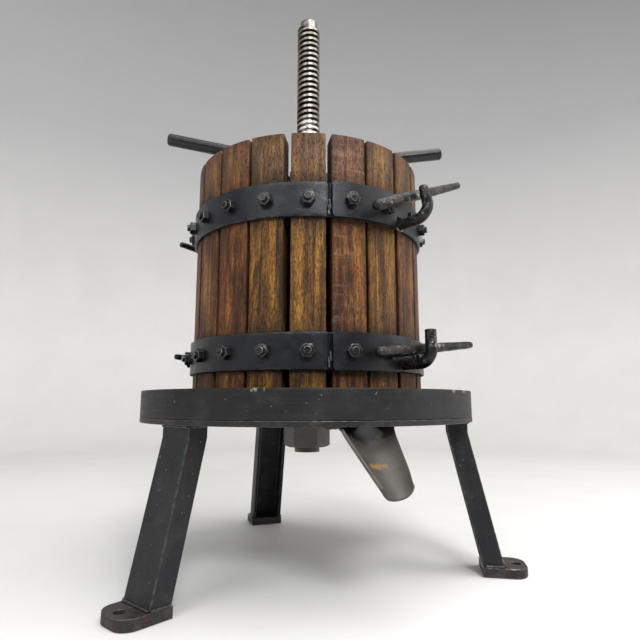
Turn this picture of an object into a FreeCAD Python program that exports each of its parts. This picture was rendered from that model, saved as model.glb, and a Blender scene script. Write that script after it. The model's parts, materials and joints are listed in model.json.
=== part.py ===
"""Apple cider press: a slatted basket in a steel pan on three legs, pressed by a nut on a fixed screw.

Millimetres. The origin is on the floor at the screw's axis, +Z is up and the spout points to -Y.
Azimuths are in degrees, counted from -Y towards +X, so azimuth 0 is the spout and +90 is +X.
"""
import FreeCAD, Part
import math
import os

V = FreeCAD.Vector
Z = V(0, 0, 1)

# ---- clearances ------------------------------------------------------------
REST_GAP = 0.3          # under the loose basket, and between the hub and its thrust plate
THREAD_GAP = 0.35       # hub's bore outside the crests of the screw's thread
BORE_GAP = 1.3          # follower and thrust plate round the screw
BOLT_GAP = 0.15         # band bolts in their staves and bands
HOOK_GAP = 0.9          # hasp's notch round the leg of a hook
PIN_GAP = 0.6           # latch pin inside the upright of its hook, at the pin's thickest
PIN_NUT_GAP = 0.6       # latch pin outside the bolt that it is wedged against
FOLLOWER_GAP = 2.6      # follower's edge inside the heads of the band bolts

# ---- pan -------------------------------------------------------------------
PAN_BASE_Z = 136.0      # underside of the pan above the floor
PAN_R = 162.5
PAN_FLOOR_T = 4.5
PAN_RIM_H = 24.0
PAN_RIM_T = 4.8
DRAIN_R = 9.0
DRAIN_AT = 146.0        # drain hole's distance from the axis
PAN_FLOOR_TOP = PAN_BASE_Z + PAN_FLOOR_T

# ---- legs and feet ---------------------------------------------------------
LEG_AZ = {"left": -60.0, "right": 60.0, "rear": 180.0}
LEG_WEB = 36.0
LEG_DEPTH = 18.5
LEG_WALL = 4.0
LEG_TOP_R = 157.0       # outside of the web under the pan
LEG_STRAIGHT = 10.0     # upright stretch below the pan
LEG_FOOT_R = 184.0      # outside of the web on the foot plate
FOOT_T = 8.5
FOOT_W = 38.1
FOOT_R0 = 165.0
FOOT_R1 = 205.0
FOOT_CORNER = 13.0
FOOT_HOLE_AT = 196.0
FOOT_HOLE_R = 4.5

# ---- spout -----------------------------------------------------------------
SPOUT_AZ = 1.2
SPOUT_YAW = 8.5         # degrees, turn of the trough about its lip
SPOUT_FALL = 43.0       # degrees below level
SPOUT_END_R = 187.0
SPOUT_END_Z = 89.0
SPOUT_END_W = 24.0
SPOUT_TOP_W = 55.0      # width where its bottom meets the pan
SPOUT_END_D = 7.0
SPOUT_TOP_D = 10.0
SPOUT_T = 2.6

# ---- screw and the nuts that hold it ---------------------------------------
SCREW_R = 12.7
PITCH = 6.35
THREAD_DEPTH = 2.6
GROOVE_ROOT = 2.5       # width at the bottom of the groove
GROOVE_FLANK = 15.0     # degrees, each side of the groove
SCREW_Z0 = 105.0
SCREW_TOP = 589.5
TIP_R = SCREW_R - 3.1
TIP_H = 12.0
TIP_ROUND = 3.0
THREAD_Z0 = 172.0
BASE_NUT_AF = 40.0
BASE_NUT_H = 26.0
LOCK_NUT_H = 14.0

# ---- basket ----------------------------------------------------------------
STAVES = 20
STAVE_H = 248.4
STAVE_T = 22.0
STAVE_GAP = 4.7
STAVE_ROUND = 1.6
BASKET_R = 115.5        # outside of the staves, inside of the bands
BAND_H = 31.75
BAND_T = 3.2
BAND_Z = {"lower": 179.8, "upper": 310.7}
SPLIT_AZ = 27.0         # gap of staves where the front and back halves meet, and again half a turn on
BAND_SPLIT_AZ = 22.6    # where the bands of the two halves meet, under the hasp
SPLIT_GAP = 1.6
BOLT_R = 3.175
BOLT_HEAD_R = 7.5
BOLT_HEAD_T = 2.4
BOLT_STUB = 2.6         # thread standing out of a nut
SHORT_STUB = 0.8        # the same beside a latch pin
NUT_AF = 11.1
NUT_H = 5.6

# ---- hasps, hooks and latch pins -------------------------------------------
HASP_T = 3.2
HASP_AZ0 = -8.0
HASP_AZ1 = 32.4
HASP_CORNER = 3.0
SEAM_AZ = 2.3           # width in degrees of the sunk seam beside the hasp
SEAM_DEPTH = 1.6
HOOK_AZ = 26.5
HOOK_R = 5.25
HOOK_BEND = 12.0
HOOK_RISE = {"lower": 7.0, "upper": 4.3}    # leg's centre above the band's lower edge
HOOK_TOP = 28.5         # upright's end above the leg's centre
PIN_AZ = 15.0           # where the pin comes nearest to the axis
PIN_L = 117.0
PIN_INNER = 21.0        # level length of pin on the near side of that point
PIN_END_R = 5.25
PIN_FULL_R = 5.9
PIN_FULL_AT = 28.0
PIN_TIP_R = 3.5
PIN_END_ROUND = 2.2
# name: (half turn, which band, inner end above the band's lower edge, tilt in degrees)
PINS = {
    "latch_pin_front_upper": (0.0, "upper", 7.2, 22.5),
    "latch_pin_front_lower": (0.0, "lower", 14.0, 6.5),
    "latch_pin_back_upper": (180.0, "upper", 12.0, 9.0),
    "latch_pin_back_lower": (180.0, "lower", 14.4, 6.0),
}

# ---- follower, hub and handle ----------------------------------------------
HUB_Z0 = 361.0
HUB_H = 40.0
HUB_AF = 41.0
THRUST_R = 38.0
THRUST_T = 5.0
FOLLOWER_T = 22.0
ARM_AZ = 77.0
ARM_R = 6.5
ARM_ROOT_DROP = 17.0    # where the arm's axis meets the hub's face, below the hub's top
ARM_KNEE_R = 42.0
ARM_RISE = 9.0          # degrees above level
ARM_AXIS_Z = 411.0      # height at which the straight part would meet the screw's axis
ARM_TIP = 152.0
ARM_KNEE_BEND = 28.0

# ---- derived ---------------------------------------------------------------
STEP = 360.0 / STAVES
STAVE_Z0 = PAN_FLOOR_TOP + REST_GAP
BAND_R = BASKET_R + BAND_T
HASP_R = BAND_R + HASP_T
STAVE_IN = BASKET_R - STAVE_T
PIN_NEAR = HASP_R + NUT_H + SHORT_STUB + PIN_NUT_GAP + PIN_FULL_R
PIN_TURN = math.radians(HOOK_AZ - PIN_AZ)
HOOK_UP_R = (PIN_NEAR + PIN_FULL_R) / math.cos(PIN_TURN) + PIN_GAP + HOOK_R
ARM_SLOPE = math.tan(math.radians(ARM_RISE))


def at(r, azimuth, z=0.0):
    """Point at a distance from the axis, an azimuth and a height."""
    a = math.radians(azimuth)
    return V(r * math.sin(a), -r * math.cos(a), z)


def turned(shape, azimuth):
    """Copy of a shape turned about the axis by an azimuth."""
    copy = shape.copy()
    copy.rotate(V(0, 0, 0), Z, azimuth)
    return copy


def radial(shape, azimuth):
    """Shape drawn with +X outwards, turned to face an azimuth."""
    return turned(shape, azimuth - 90.0)


def ring(r0, r1, z, h):
    return Part.makeCylinder(r1, h, V(0, 0, z)).cut(Part.makeCylinder(r0, h, V(0, 0, z)))


def arc_plate(r0, r1, z, h, az0, az1):
    """Part of a ring between two azimuths."""
    outer = Part.makeCylinder(r1, h, V(0, 0, z), Z, az1 - az0)
    inner = Part.makeCylinder(r0, h, V(0, 0, z), Z, az1 - az0)
    return radial(outer.cut(inner), az0)


def prism(points, direction):
    """Solid made by moving a polygon along a direction."""
    return Part.Face(Part.makePolygon(points + points[:1])).extrude(direction)


def hex_prism(across_flats, z, h):
    """Six-sided bar on the axis with a flat facing azimuth 90."""
    r = across_flats / math.sqrt(3)
    corners = [V(r * math.cos(math.radians(30 + 60 * i)), r * math.sin(math.radians(30 + 60 * i)), z)
               for i in range(6)]
    return prism(corners, V(0, 0, h))


def hex_nut(across_flats, z, h, bore_r, chamfer):
    """Hexagon nut on the axis, its corners chamfered at both ends."""
    corner = across_flats / math.sqrt(3) + 0.5
    flat = across_flats / 2 - 0.2
    outline = [V(0, 0, z), V(flat, 0, z), V(corner, 0, z + chamfer), V(corner, 0, z + h - chamfer),
               V(flat, 0, z + h), V(0, 0, z + h)]
    turned_blank = Part.Face(Part.makePolygon(outline + outline[:1])).revolve(V(0, 0, 0), Z, 360)
    body = hex_prism(across_flats, z, h).common(turned_blank)
    return body.cut(Part.makeCylinder(bore_r, h, V(0, 0, z)))


def round_bar(points, bends, r):
    """Round bar along straight runs joined by tangent arcs, one bend radius per inner point."""
    edges = []
    start = points[0]
    for before, corner, after, bend in zip(points, points[1:], points[2:], bends):
        u = (before - corner).normalize()
        w = (after - corner).normalize()
        half = u.getAngle(w) / 2
        reach = bend / math.tan(half)
        centre = corner + (u + w).normalize() * (bend / math.sin(half))
        middle = centre + (corner - centre).normalize() * bend
        first, last = corner + u * reach, corner + w * reach
        edges += [Part.LineSegment(start, first).toShape(), Part.Arc(first, middle, last).toShape()]
        start = last
    edges.append(Part.LineSegment(start, points[-1]).toShape())
    section = Part.Wire(Part.makeCircle(r, points[0], points[1] - points[0]))
    return Part.Wire(edges).makePipeShell([section], True, False)


# ---- pan -------------------------------------------------------------------
def pan_floor():
    plate = Part.makeCylinder(PAN_R, PAN_FLOOR_T, V(0, 0, PAN_BASE_Z))
    plate = plate.cut(Part.makeCylinder(SCREW_R, PAN_FLOOR_T, V(0, 0, PAN_BASE_Z)))
    return plate.cut(Part.makeCylinder(DRAIN_R, PAN_FLOOR_T, at(DRAIN_AT, SPOUT_AZ, PAN_BASE_Z)))


def pan_rim():
    return ring(PAN_R - PAN_RIM_T, PAN_R, PAN_FLOOR_TOP, PAN_RIM_H)


# ---- legs and feet ---------------------------------------------------------
def leg(azimuth):
    """Channel with its open side inwards: upright under the pan, then leaning out to the foot."""
    knee_z = PAN_BASE_Z - LEG_STRAIGHT

    def side(inset, depth, half_width):
        outer = [V(LEG_TOP_R - inset, 0, PAN_BASE_Z), V(LEG_TOP_R - inset, 0, knee_z),
                 V(LEG_FOOT_R - inset, 0, FOOT_T)]
        inner = [p - V(depth, 0, 0) for p in reversed(outer)]
        return prism([p - V(0, half_width, 0) for p in outer + inner], V(0, 2 * half_width, 0))

    solid = side(0, LEG_DEPTH, LEG_WEB / 2)
    hollow = side(LEG_WALL, LEG_DEPTH, LEG_WEB / 2 - LEG_WALL)
    return radial(solid.cut(hollow), azimuth)


def foot_plate(azimuth):
    plate = Part.makeBox(FOOT_R1 - FOOT_R0, FOOT_W, FOOT_T, V(FOOT_R0, -FOOT_W / 2, 0))
    outer = [e for e in plate.Edges if e.BoundBox.ZLength > FOOT_T - 0.01 and e.BoundBox.XMin > FOOT_R1 - 0.01]
    plate = plate.makeFillet(FOOT_CORNER, outer)
    plate = plate.cut(Part.makeCylinder(FOOT_HOLE_R, FOOT_T, V(FOOT_HOLE_AT, 0, 0)))
    return radial(plate, azimuth)


# ---- spout -----------------------------------------------------------------
def spout():
    """Curved sheet trough that tapers from the pan's underside to its lip."""
    fall = math.radians(SPOUT_FALL)
    along = V(0, -math.cos(fall), -math.sin(fall))
    up = V(0, -math.sin(fall), math.cos(fall))
    length = (PAN_BASE_Z - SPOUT_END_Z) / math.sin(fall)
    end = V(0, -SPOUT_END_R, SPOUT_END_Z)

    def section(back, over):
        """Arc strip a distance back from the lip, thicker than the sheet by over."""
        share = back / length
        w = SPOUT_END_W + (SPOUT_TOP_W - SPOUT_END_W) * share
        d = SPOUT_END_D + (SPOUT_TOP_D - SPOUT_END_D) * share
        curve = (w * w / 4 + d * d) / (2 * d)
        reach = math.asin(w / 2 / curve)
        centre = end - along * back + up * curve

        def on(r, angle):
            return centre + V(r * math.sin(angle), 0, 0) - up * (r * math.cos(angle))

        inner = Part.Arc(on(curve, -reach), on(curve, 0), on(curve, reach)).toShape()
        outer = Part.Arc(on(curve + over, reach), on(curve + over, 0), on(curve + over, -reach)).toShape()
        ends = [Part.LineSegment(on(curve, reach), on(curve + over, reach)).toShape(),
                Part.LineSegment(on(curve + over, -reach), on(curve, -reach)).toShape()]
        return Part.Wire([inner, ends[0], outer, ends[1]])

    trough = Part.makeLoft([section(length * 1.3, SPOUT_T), section(0, SPOUT_T)], True, True)
    above = Part.makeBox(2 * PAN_R, 2 * PAN_R, 2 * PAN_R, V(-PAN_R, -2 * PAN_R, PAN_BASE_Z))
    trough = trough.cut(above)
    trough.rotate(end, Z, SPOUT_YAW)
    return turned(trough, SPOUT_AZ)


# ---- screw -----------------------------------------------------------------
def screw():
    """Fixed screw with one helical groove that runs out at the plain turned tip."""
    shoulder = SCREW_TOP - TIP_H
    root_r = SCREW_R - THREAD_DEPTH
    outline = [V(0, 0, SCREW_Z0), V(SCREW_R, 0, SCREW_Z0), V(SCREW_R, 0, shoulder), V(TIP_R, 0, shoulder),
               V(TIP_R, 0, SCREW_TOP - TIP_ROUND), V(TIP_R - TIP_ROUND, 0, SCREW_TOP), V(0, 0, SCREW_TOP)]
    blank = Part.Face(Part.makePolygon(outline + outline[:1])).revolve(V(0, 0, 0), Z, 360)
    bar = turned(blank, 45)
    helix = Part.makeHelix(PITCH, PITCH, root_r)
    helix.translate(V(0, 0, THREAD_Z0))
    over = 1.0
    half_root = GROOVE_ROOT / 2
    half_mouth = half_root + (THREAD_DEPTH + over) * math.tan(math.radians(GROOVE_FLANK))
    section = Part.makePolygon([V(root_r, 0, THREAD_Z0 - half_root),
                                V(SCREW_R + over, 0, THREAD_Z0 - half_mouth),
                                V(SCREW_R + over, 0, THREAD_Z0 + half_mouth),
                                V(root_r, 0, THREAD_Z0 + half_root),
                                V(root_r, 0, THREAD_Z0 - half_root)])
    one_turn = Part.Wire(helix.Edges).makePipeShell([section], True, True)
    turns = []
    for i in range(math.ceil((shoulder - THREAD_Z0) / PITCH + 1.3)):
        turns.append(one_turn.copy())
        turns[-1].translate(V(0, 0, PITCH * i))
    groove = turns[0].fuse(turns[1:]).removeSplitter()
    return bar.cut(groove)


# ---- basket ----------------------------------------------------------------
def band_middle(level):
    return BAND_Z[level] + BAND_H / 2


def stave():
    """Wedge-sided stave facing azimuth 90, its outer face turned to the bands' inside."""
    half = math.radians(STEP / 2)
    offset = STAVE_GAP / 2 / math.cos(half)

    def side_y(x):
        return x * math.tan(half) - offset

    x0 = STAVE_IN
    a = math.tan(half)
    # where the side plane meets the outer circle
    x1 = (a * offset + math.sqrt(BASKET_R ** 2 * (1 + a * a) - offset ** 2)) / (1 + a * a)
    y0, y1 = side_y(x0), side_y(x1)
    edges = [Part.LineSegment(V(x0, y0, STAVE_Z0), V(x0, -y0, STAVE_Z0)).toShape(),
             Part.LineSegment(V(x0, -y0, STAVE_Z0), V(x1, -y1, STAVE_Z0)).toShape(),
             Part.Arc(V(x1, -y1, STAVE_Z0), V(BASKET_R, 0, STAVE_Z0), V(x1, y1, STAVE_Z0)).toShape(),
             Part.LineSegment(V(x1, y1, STAVE_Z0), V(x0, y0, STAVE_Z0)).toShape()]
    body = Part.Face(Part.Wire(edges)).extrude(V(0, 0, STAVE_H))
    upright = [e for e in body.Edges
               if e.BoundBox.ZLength > STAVE_H - 1 and e.BoundBox.XMin > x1 - 0.5]
    body = body.makeFillet(STAVE_ROUND, upright)
    for level in BAND_Z:
        start = V(x0 - 1, 0, band_middle(level))
        body = body.cut(Part.makeCylinder(BOLT_R + BOLT_GAP, 2 * STAVE_T, start, V(1, 0, 0)))
    return body


def bolt_azimuths(turn):
    """Azimuths of the staves of one half of the basket."""
    first = math.ceil(SPLIT_AZ / STEP) * STEP + turn
    return [first + STEP * i for i in range(STAVES // 2)]


def under_hasp(azimuth):
    """Whether a stave's bolt passes through a hasp as well as a band."""
    return any(HASP_AZ0 < (azimuth - turn + 180) % 360 - 180 < HASP_AZ1 for turn in (0, 180))


def band(level, turn):
    """Half band from one split of the basket to the other, with its bolt holes."""
    half_gap = math.degrees(SPLIT_GAP / 2 / BAND_R)
    az0 = BAND_SPLIT_AZ + turn + half_gap
    az1 = az0 + 180 - 2 * half_gap
    z = BAND_Z[level]
    plate = arc_plate(BASKET_R, BAND_R, z, BAND_H, az0, az1)
    seam_az = HASP_AZ0 + turn + 180
    seam = arc_plate(BAND_R - SEAM_DEPTH, BAND_R + 1, z, BAND_H, seam_az - SEAM_AZ, seam_az)
    plate = plate.cut(seam)
    for azimuth in bolt_azimuths(turn):
        start = at(BASKET_R - BAND_T, azimuth, band_middle(level))
        plate = plate.cut(Part.makeCylinder(BOLT_R + BOLT_GAP, 4 * BAND_T, start, at(1, azimuth)))
    return plate


def hook_leg_z(level):
    return BAND_Z[level] + HOOK_RISE[level]


def hasp(level, turn):
    """Strap welded to one half band, notched round the hook of the other half."""
    z = BAND_Z[level]
    plate = arc_plate(BAND_R, HASP_R, z, BAND_H, HASP_AZ0, HASP_AZ1)
    ends = [e for e in plate.Edges if e.BoundBox.ZLength < 0.01 and abs(e.Length - HASP_T) < 0.01]
    plate = plate.makeFillet(HASP_CORNER, ends)
    clear = HOOK_R + HOOK_GAP
    notch_az = HOOK_AZ - math.degrees(clear / HASP_R)
    notch_h = hook_leg_z(level) + clear - z + 1
    plate = plate.cut(arc_plate(BAND_R - 1, HASP_R + 1, z - 1, notch_h, notch_az, HASP_AZ1 + 1))
    for azimuth in (0, STEP):
        start = at(BAND_R - HASP_T, azimuth, band_middle(level))
        plate = plate.cut(Part.makeCylinder(BOLT_R + BOLT_GAP, 4 * HASP_T, start, at(1, azimuth)))
    return turned(plate, turn)


def hook(level, turn):
    """Bent round bar: a leg out of the half band and an upright outside the pin."""
    z = hook_leg_z(level)
    points = [V(BASKET_R, 0, z), V(HOOK_UP_R, 0, z), V(HOOK_UP_R, 0, z + HOOK_TOP)]
    bar = round_bar(points, [HOOK_BEND], HOOK_R)
    top = [e for e in bar.Edges if e.BoundBox.ZMin > z + HOOK_TOP - 0.01]
    bar = bar.makeFillet(1.2, top)
    bar = bar.cut(Part.makeCylinder(BAND_R, 60, V(0, 0, z - 30)))
    return radial(bar, HOOK_AZ + turn)


def latch_pin(turn, level, rise, tilt):
    """Loose tapered pin wedged between the hook's upright and a bolt beside it."""
    outline = [V(0, 0, 0), V(PIN_END_R, 0, 0), V(PIN_FULL_R, 0, PIN_FULL_AT), V(PIN_TIP_R, 0, PIN_L),
               V(0, 0, PIN_L)]
    pin = Part.Face(Part.makePolygon(outline + outline[:1])).revolve(V(0, 0, 0), Z, 360)
    level_edges = [e for e in pin.Edges if e.BoundBox.ZLength < 0.01]
    ends = [e for e in level_edges if e.BoundBox.ZMin < 0.01 or e.BoundBox.ZMin > PIN_L - 0.01]
    pin = pin.makeFillet(PIN_END_ROUND, ends)
    level_length = PIN_INNER / math.cos(math.radians(tilt))
    pin.translate(V(0, 0, -level_length))
    pin.rotate(V(0, 0, 0), V(1, 0, 0), -(90 - tilt))
    rise_there = math.tan(math.radians(tilt)) * PIN_INNER
    pin.translate(V(PIN_NEAR, 0, BAND_Z[level] + rise + rise_there))
    return radial(pin, PIN_AZ + turn)


def band_bolts(level):
    """All the bolts of one band, as separate solids."""
    solids = []
    for turn in (0, 180):
        for azimuth in bolt_azimuths(turn):
            outside = HASP_R if under_hasp(azimuth) else BAND_R
            stub = SHORT_STUB if under_hasp(azimuth) else BOLT_STUB
            length = outside + NUT_H + stub - STAVE_IN
            shank = Part.makeCylinder(BOLT_R, length, V(STAVE_IN, 0, 0), V(1, 0, 0))
            behind = V(STAVE_IN - BOLT_HEAD_T, 0, 0)
            head = Part.makeCylinder(BOLT_HEAD_R, BOLT_HEAD_T, behind, V(1, 0, 0))
            rim = [e for e in head.Edges if e.BoundBox.XMax < STAVE_IN - BOLT_HEAD_T + 0.01]
            head = head.makeFillet(BOLT_HEAD_T * 0.6, rim)
            bolt = head.fuse(shank).removeSplitter()
            bolt.translate(V(0, 0, band_middle(level)))
            solids.append(radial(bolt, azimuth))
    return Part.makeCompound(solids)


def band_nuts(level):
    """All the nuts of one band, as separate solids, each turned a little differently."""
    solids = []
    for turn in (0, 180):
        for azimuth in bolt_azimuths(turn):
            outside = HASP_R if under_hasp(azimuth) else BAND_R
            nut = hex_nut(NUT_AF, 0, NUT_H, BOLT_R, 0.7)
            nut.rotate(V(0, 0, 0), Z, (azimuth * 7) % 60)
            nut.rotate(V(0, 0, 0), V(0, 1, 0), 90)
            nut.translate(V(outside, 0, band_middle(level)))
            solids.append(radial(nut, azimuth))
    return Part.makeCompound(solids)


# ---- follower, hub and handle ----------------------------------------------
def thrust_plate():
    return ring(SCREW_R + BORE_GAP, THRUST_R, HUB_Z0 - REST_GAP - THRUST_T, THRUST_T)


def follower_disc():
    top = HUB_Z0 - REST_GAP - THRUST_T
    return ring(SCREW_R + BORE_GAP, STAVE_IN - BOLT_HEAD_T - FOLLOWER_GAP, top - FOLLOWER_T, FOLLOWER_T)


def hub_nut():
    nut = hex_nut(HUB_AF, HUB_Z0, HUB_H, SCREW_R + THREAD_GAP, 2.0)
    return radial(nut, ARM_AZ)


def handle_arm(azimuth):
    """Round arm that climbs from the hub's face to a knee and then rises gently outwards."""
    def straight_z(r):
        return ARM_AXIS_Z + r * ARM_SLOPE

    root_z = HUB_Z0 + HUB_H - ARM_ROOT_DROP
    points = [V(HUB_AF / 2 - ARM_R, 0, root_z - ARM_R), V(ARM_KNEE_R, 0, straight_z(ARM_KNEE_R)),
              V(ARM_TIP, 0, straight_z(ARM_TIP))]
    bar = round_bar(points, [ARM_KNEE_BEND], ARM_R)
    tip = [e for e in bar.Edges if e.BoundBox.XMin > ARM_TIP - ARM_R / 2]
    bar = bar.makeFillet(2.5, tip)
    bar = bar.cut(Part.makeBox(HUB_AF, HUB_AF, 3 * HUB_H, V(-HUB_AF / 2, -HUB_AF / 2, HUB_Z0 - HUB_H)))
    return radial(bar, azimuth)


def build():
    """Every node of the press by name."""
    nodes = {"pan_floor": pan_floor(), "pan_rim": pan_rim(), "spout": spout(), "screw": screw()}
    nodes["base_nut"] = turned(hex_nut(BASE_NUT_AF, PAN_BASE_Z - BASE_NUT_H, BASE_NUT_H, SCREW_R, 2.0), 8)
    nodes["lock_nut"] = hex_nut(BASE_NUT_AF, PAN_FLOOR_TOP, LOCK_NUT_H, SCREW_R, 2.0)
    for side, azimuth in LEG_AZ.items():
        nodes["leg_" + side] = leg(azimuth)
        nodes["foot_plate_" + side] = foot_plate(azimuth)
    one_stave = stave()
    for i in range(STAVES):
        nodes["stave_%02d" % (i + 1)] = radial(one_stave, STEP * i)
    for level in BAND_Z:
        nodes["band_bolts_" + level] = band_bolts(level)
        nodes["band_nuts_" + level] = band_nuts(level)
        for half, turn in (("back", 0), ("front", 180)):
            nodes["band_%s_%s" % (half, level)] = band(level, turn)
        for half, turn in (("front", 0), ("back", 180)):
            nodes["hasp_%s_%s" % (half, level)] = hasp(level, turn)
            nodes["hook_%s_%s" % (half, level)] = hook(level, turn)
    for name, place in PINS.items():
        nodes[name] = latch_pin(*place)
    nodes["follower_disc"] = follower_disc()
    nodes["thrust_plate"] = thrust_plate()
    nodes["hub_nut"] = hub_nut()
    nodes["handle_arm_right"] = handle_arm(ARM_AZ)
    nodes["handle_arm_left"] = handle_arm(ARM_AZ + 180)
    return nodes


os.makedirs("parts", exist_ok=True)
for name, shape in build().items():
    shape.exportStep("parts/%s.step" % name)
    print("%-24s solids %2d  valid %s  volume %.0f mm3" % (name, len(shape.Solids), shape.isValid(), shape.Volume))
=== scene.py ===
import json
import math

import bmesh
import bpy
import numpy as np
from bpy.props import FloatProperty, FloatVectorProperty, PointerProperty
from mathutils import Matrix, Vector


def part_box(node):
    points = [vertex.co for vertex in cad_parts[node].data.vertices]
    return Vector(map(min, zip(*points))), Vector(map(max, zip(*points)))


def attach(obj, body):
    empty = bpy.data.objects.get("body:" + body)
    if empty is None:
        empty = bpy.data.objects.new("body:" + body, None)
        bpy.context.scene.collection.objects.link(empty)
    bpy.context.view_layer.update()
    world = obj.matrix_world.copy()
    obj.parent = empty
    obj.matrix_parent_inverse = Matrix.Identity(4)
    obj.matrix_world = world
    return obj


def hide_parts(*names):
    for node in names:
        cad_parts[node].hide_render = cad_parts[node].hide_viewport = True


bl_info = {
    "name": "Cider press looks",
    "version": (1, 0, 0),
    "blender": (4, 5, 0),
    "location": "3D View > Sidebar > Cider press",
    "description": "Stained staves, hammered bands, forged latches and the painted stand of a fruit press",
    "category": "Object",
}

MM = 0.001

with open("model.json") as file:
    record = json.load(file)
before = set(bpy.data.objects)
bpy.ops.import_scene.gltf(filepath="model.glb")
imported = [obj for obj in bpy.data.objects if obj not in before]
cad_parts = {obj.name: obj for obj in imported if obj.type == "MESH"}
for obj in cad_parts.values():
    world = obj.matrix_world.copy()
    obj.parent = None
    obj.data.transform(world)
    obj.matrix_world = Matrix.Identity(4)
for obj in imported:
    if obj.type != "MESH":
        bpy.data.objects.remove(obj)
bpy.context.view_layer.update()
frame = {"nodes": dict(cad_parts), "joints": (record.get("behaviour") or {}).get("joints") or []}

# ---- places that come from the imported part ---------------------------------
STAVES = 20
STEP = 360 / STAVES
STAVE_LOW, STAVE_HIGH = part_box("stave_06")
STAVE_IN, BASKET_R = STAVE_LOW.x, STAVE_HIGH.x
BAND_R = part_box("band_back_upper")[1].x
BAND_Z = {level: (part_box("band_back_" + level)[0].z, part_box("band_back_" + level)[1].z)
          for level in ("lower", "upper")}
PAN_LOW, PAN_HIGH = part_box("pan_floor")
PAN_R = PAN_HIGH.x
RIM_LOW, RIM_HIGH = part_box("pan_rim")
FOOT_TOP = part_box("foot_plate_left")[1].z
SCREW_R, SCREW_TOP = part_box("screw")[1].x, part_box("screw")[1].z

# ---- sizes and azimuths that the part doesn't state ------------------------
STAVE_GAP = 4.7 * MM
HASP_AZ0 = -8.0
BAND_SPLIT_AZ = 22.6
SPLIT_GAP_AZ = 0.4
HOOK_BAR_R, HOOK_BEND = 5.25 * MM, 12 * MM
PIN_FULL_AT = 28 * MM
RIM_T, SPOUT_T = 4.8 * MM, 2.4 * MM
LEG_AZIMUTHS = {"left": -60.0, "right": 60.0, "rear": 180.0}
LEG_TOP_R, LEG_FOOT_R, LEG_HALF_WIDTH = 157.3 * MM, 184.3 * MM, 18.3 * MM
SHOULDER_Z = SCREW_TOP - 12.5 * MM
CHALK_LOW, CHALK_HIGH, CHALK_AZ = 0.435, 0.461, -12.0


# ---- shapes ----------------------------------------------------------------
def direction(azimuth):
    """Unit vectors outwards and anticlockwise at an azimuth in degrees, counted from -Y towards +X."""
    a = np.radians(azimuth)
    zero = np.zeros_like(a)
    return np.stack([np.sin(a), -np.cos(a), zero], -1), np.stack([np.cos(a), np.sin(a), zero], -1)


def ripple(points, wavelength, seed, terms=14):
    """Smooth bumps from -1 to 1: cosines in random directions, each about one wavelength long, added up."""
    rng = np.random.default_rng(seed)
    waves = rng.normal(size=(terms, 3))
    waves *= (2 * np.pi / wavelength * rng.uniform(0.6, 1.5, terms) / np.linalg.norm(waves, axis=1))[:, None]
    phase = rng.uniform(0, 2 * np.pi, terms)
    total = np.cos(np.asarray(points) @ waves.T + phase).sum(-1)
    return np.clip(total / math.sqrt(terms), -1.6, 1.6) / 1.6


def smooth(x, low, high):
    """0 below low, 1 above high, and an S-shaped curve 3t^2 - 2t^3 between them."""
    t = np.clip((x - low) / (high - low), 0, 1)
    return t * t * (3 - 2 * t)


def grid_quads(nu, nv, wrap_u, wrap_v):
    """Corner numbers of the quads of an nu by nv grid of points, joined round where it wraps."""
    u = np.arange(nu if wrap_u else nu - 1)[:, None]
    v = np.arange(nv if wrap_v else nv - 1)[None, :]
    un, vn = (u + 1) % nu, (v + 1) % nv
    corners = np.broadcast_arrays(u * nv + v, un * nv + v, un * nv + vn, u * nv + vn)
    return np.stack(corners, -1).reshape(-1, 4)


def outward(solid):
    """Turns every face round if the solid's signed volume is negative."""
    p = solid["points"] - solid["points"].mean(0)
    fans = np.concatenate([solid["tris"], solid["quads"][:, [0, 1, 2]], solid["quads"][:, [0, 2, 3]]])
    a, b, c = p[fans[:, 0]], p[fans[:, 1]], p[fans[:, 2]]
    if np.einsum("ij,ij->", a, np.cross(b, c)) < 0:
        solid["tris"] = solid["tris"][:, ::-1]
        solid["quads"] = solid["quads"][:, ::-1]
    return solid


def shell(rings, **fields):
    """Solid through closed rings of points, with the first and last ring fanned shut to their middles."""
    nu, nv = rings.shape[:2]
    points = np.concatenate([rings.reshape(-1, 3), rings[[0, -1]].mean(1)])
    around = np.arange(nv)
    after = (around + 1) % nv
    low, high = np.full(nv, nu * nv), np.full(nv, nu * nv + 1)
    last = (nu - 1) * nv
    tris = np.concatenate([np.stack([low, after, around], -1),
                           np.stack([high, last + around, last + after], -1)])
    solid = {"points": points, "quads": grid_quads(nu, nv, False, True), "tris": tris}
    for name, value in fields.items():
        value = np.broadcast_to(value, (nu, nv) + np.shape(value)[2:])
        solid[name] = np.concatenate([value.reshape((nu * nv,) + value.shape[2:]), value[[0, -1]].mean(1)])
    return outward(solid)


def hoop(rings, **fields):
    """Solid through closed rings of points that run right round and meet themselves."""
    nu, nv = rings.shape[:2]
    solid = {"points": rings.reshape(-1, 3), "quads": grid_quads(nu, nv, True, True),
             "tris": np.zeros((0, 3), int)}
    for name, value in fields.items():
        solid[name] = np.broadcast_to(value, (nu, nv)).reshape(-1)
    return outward(solid)


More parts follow.
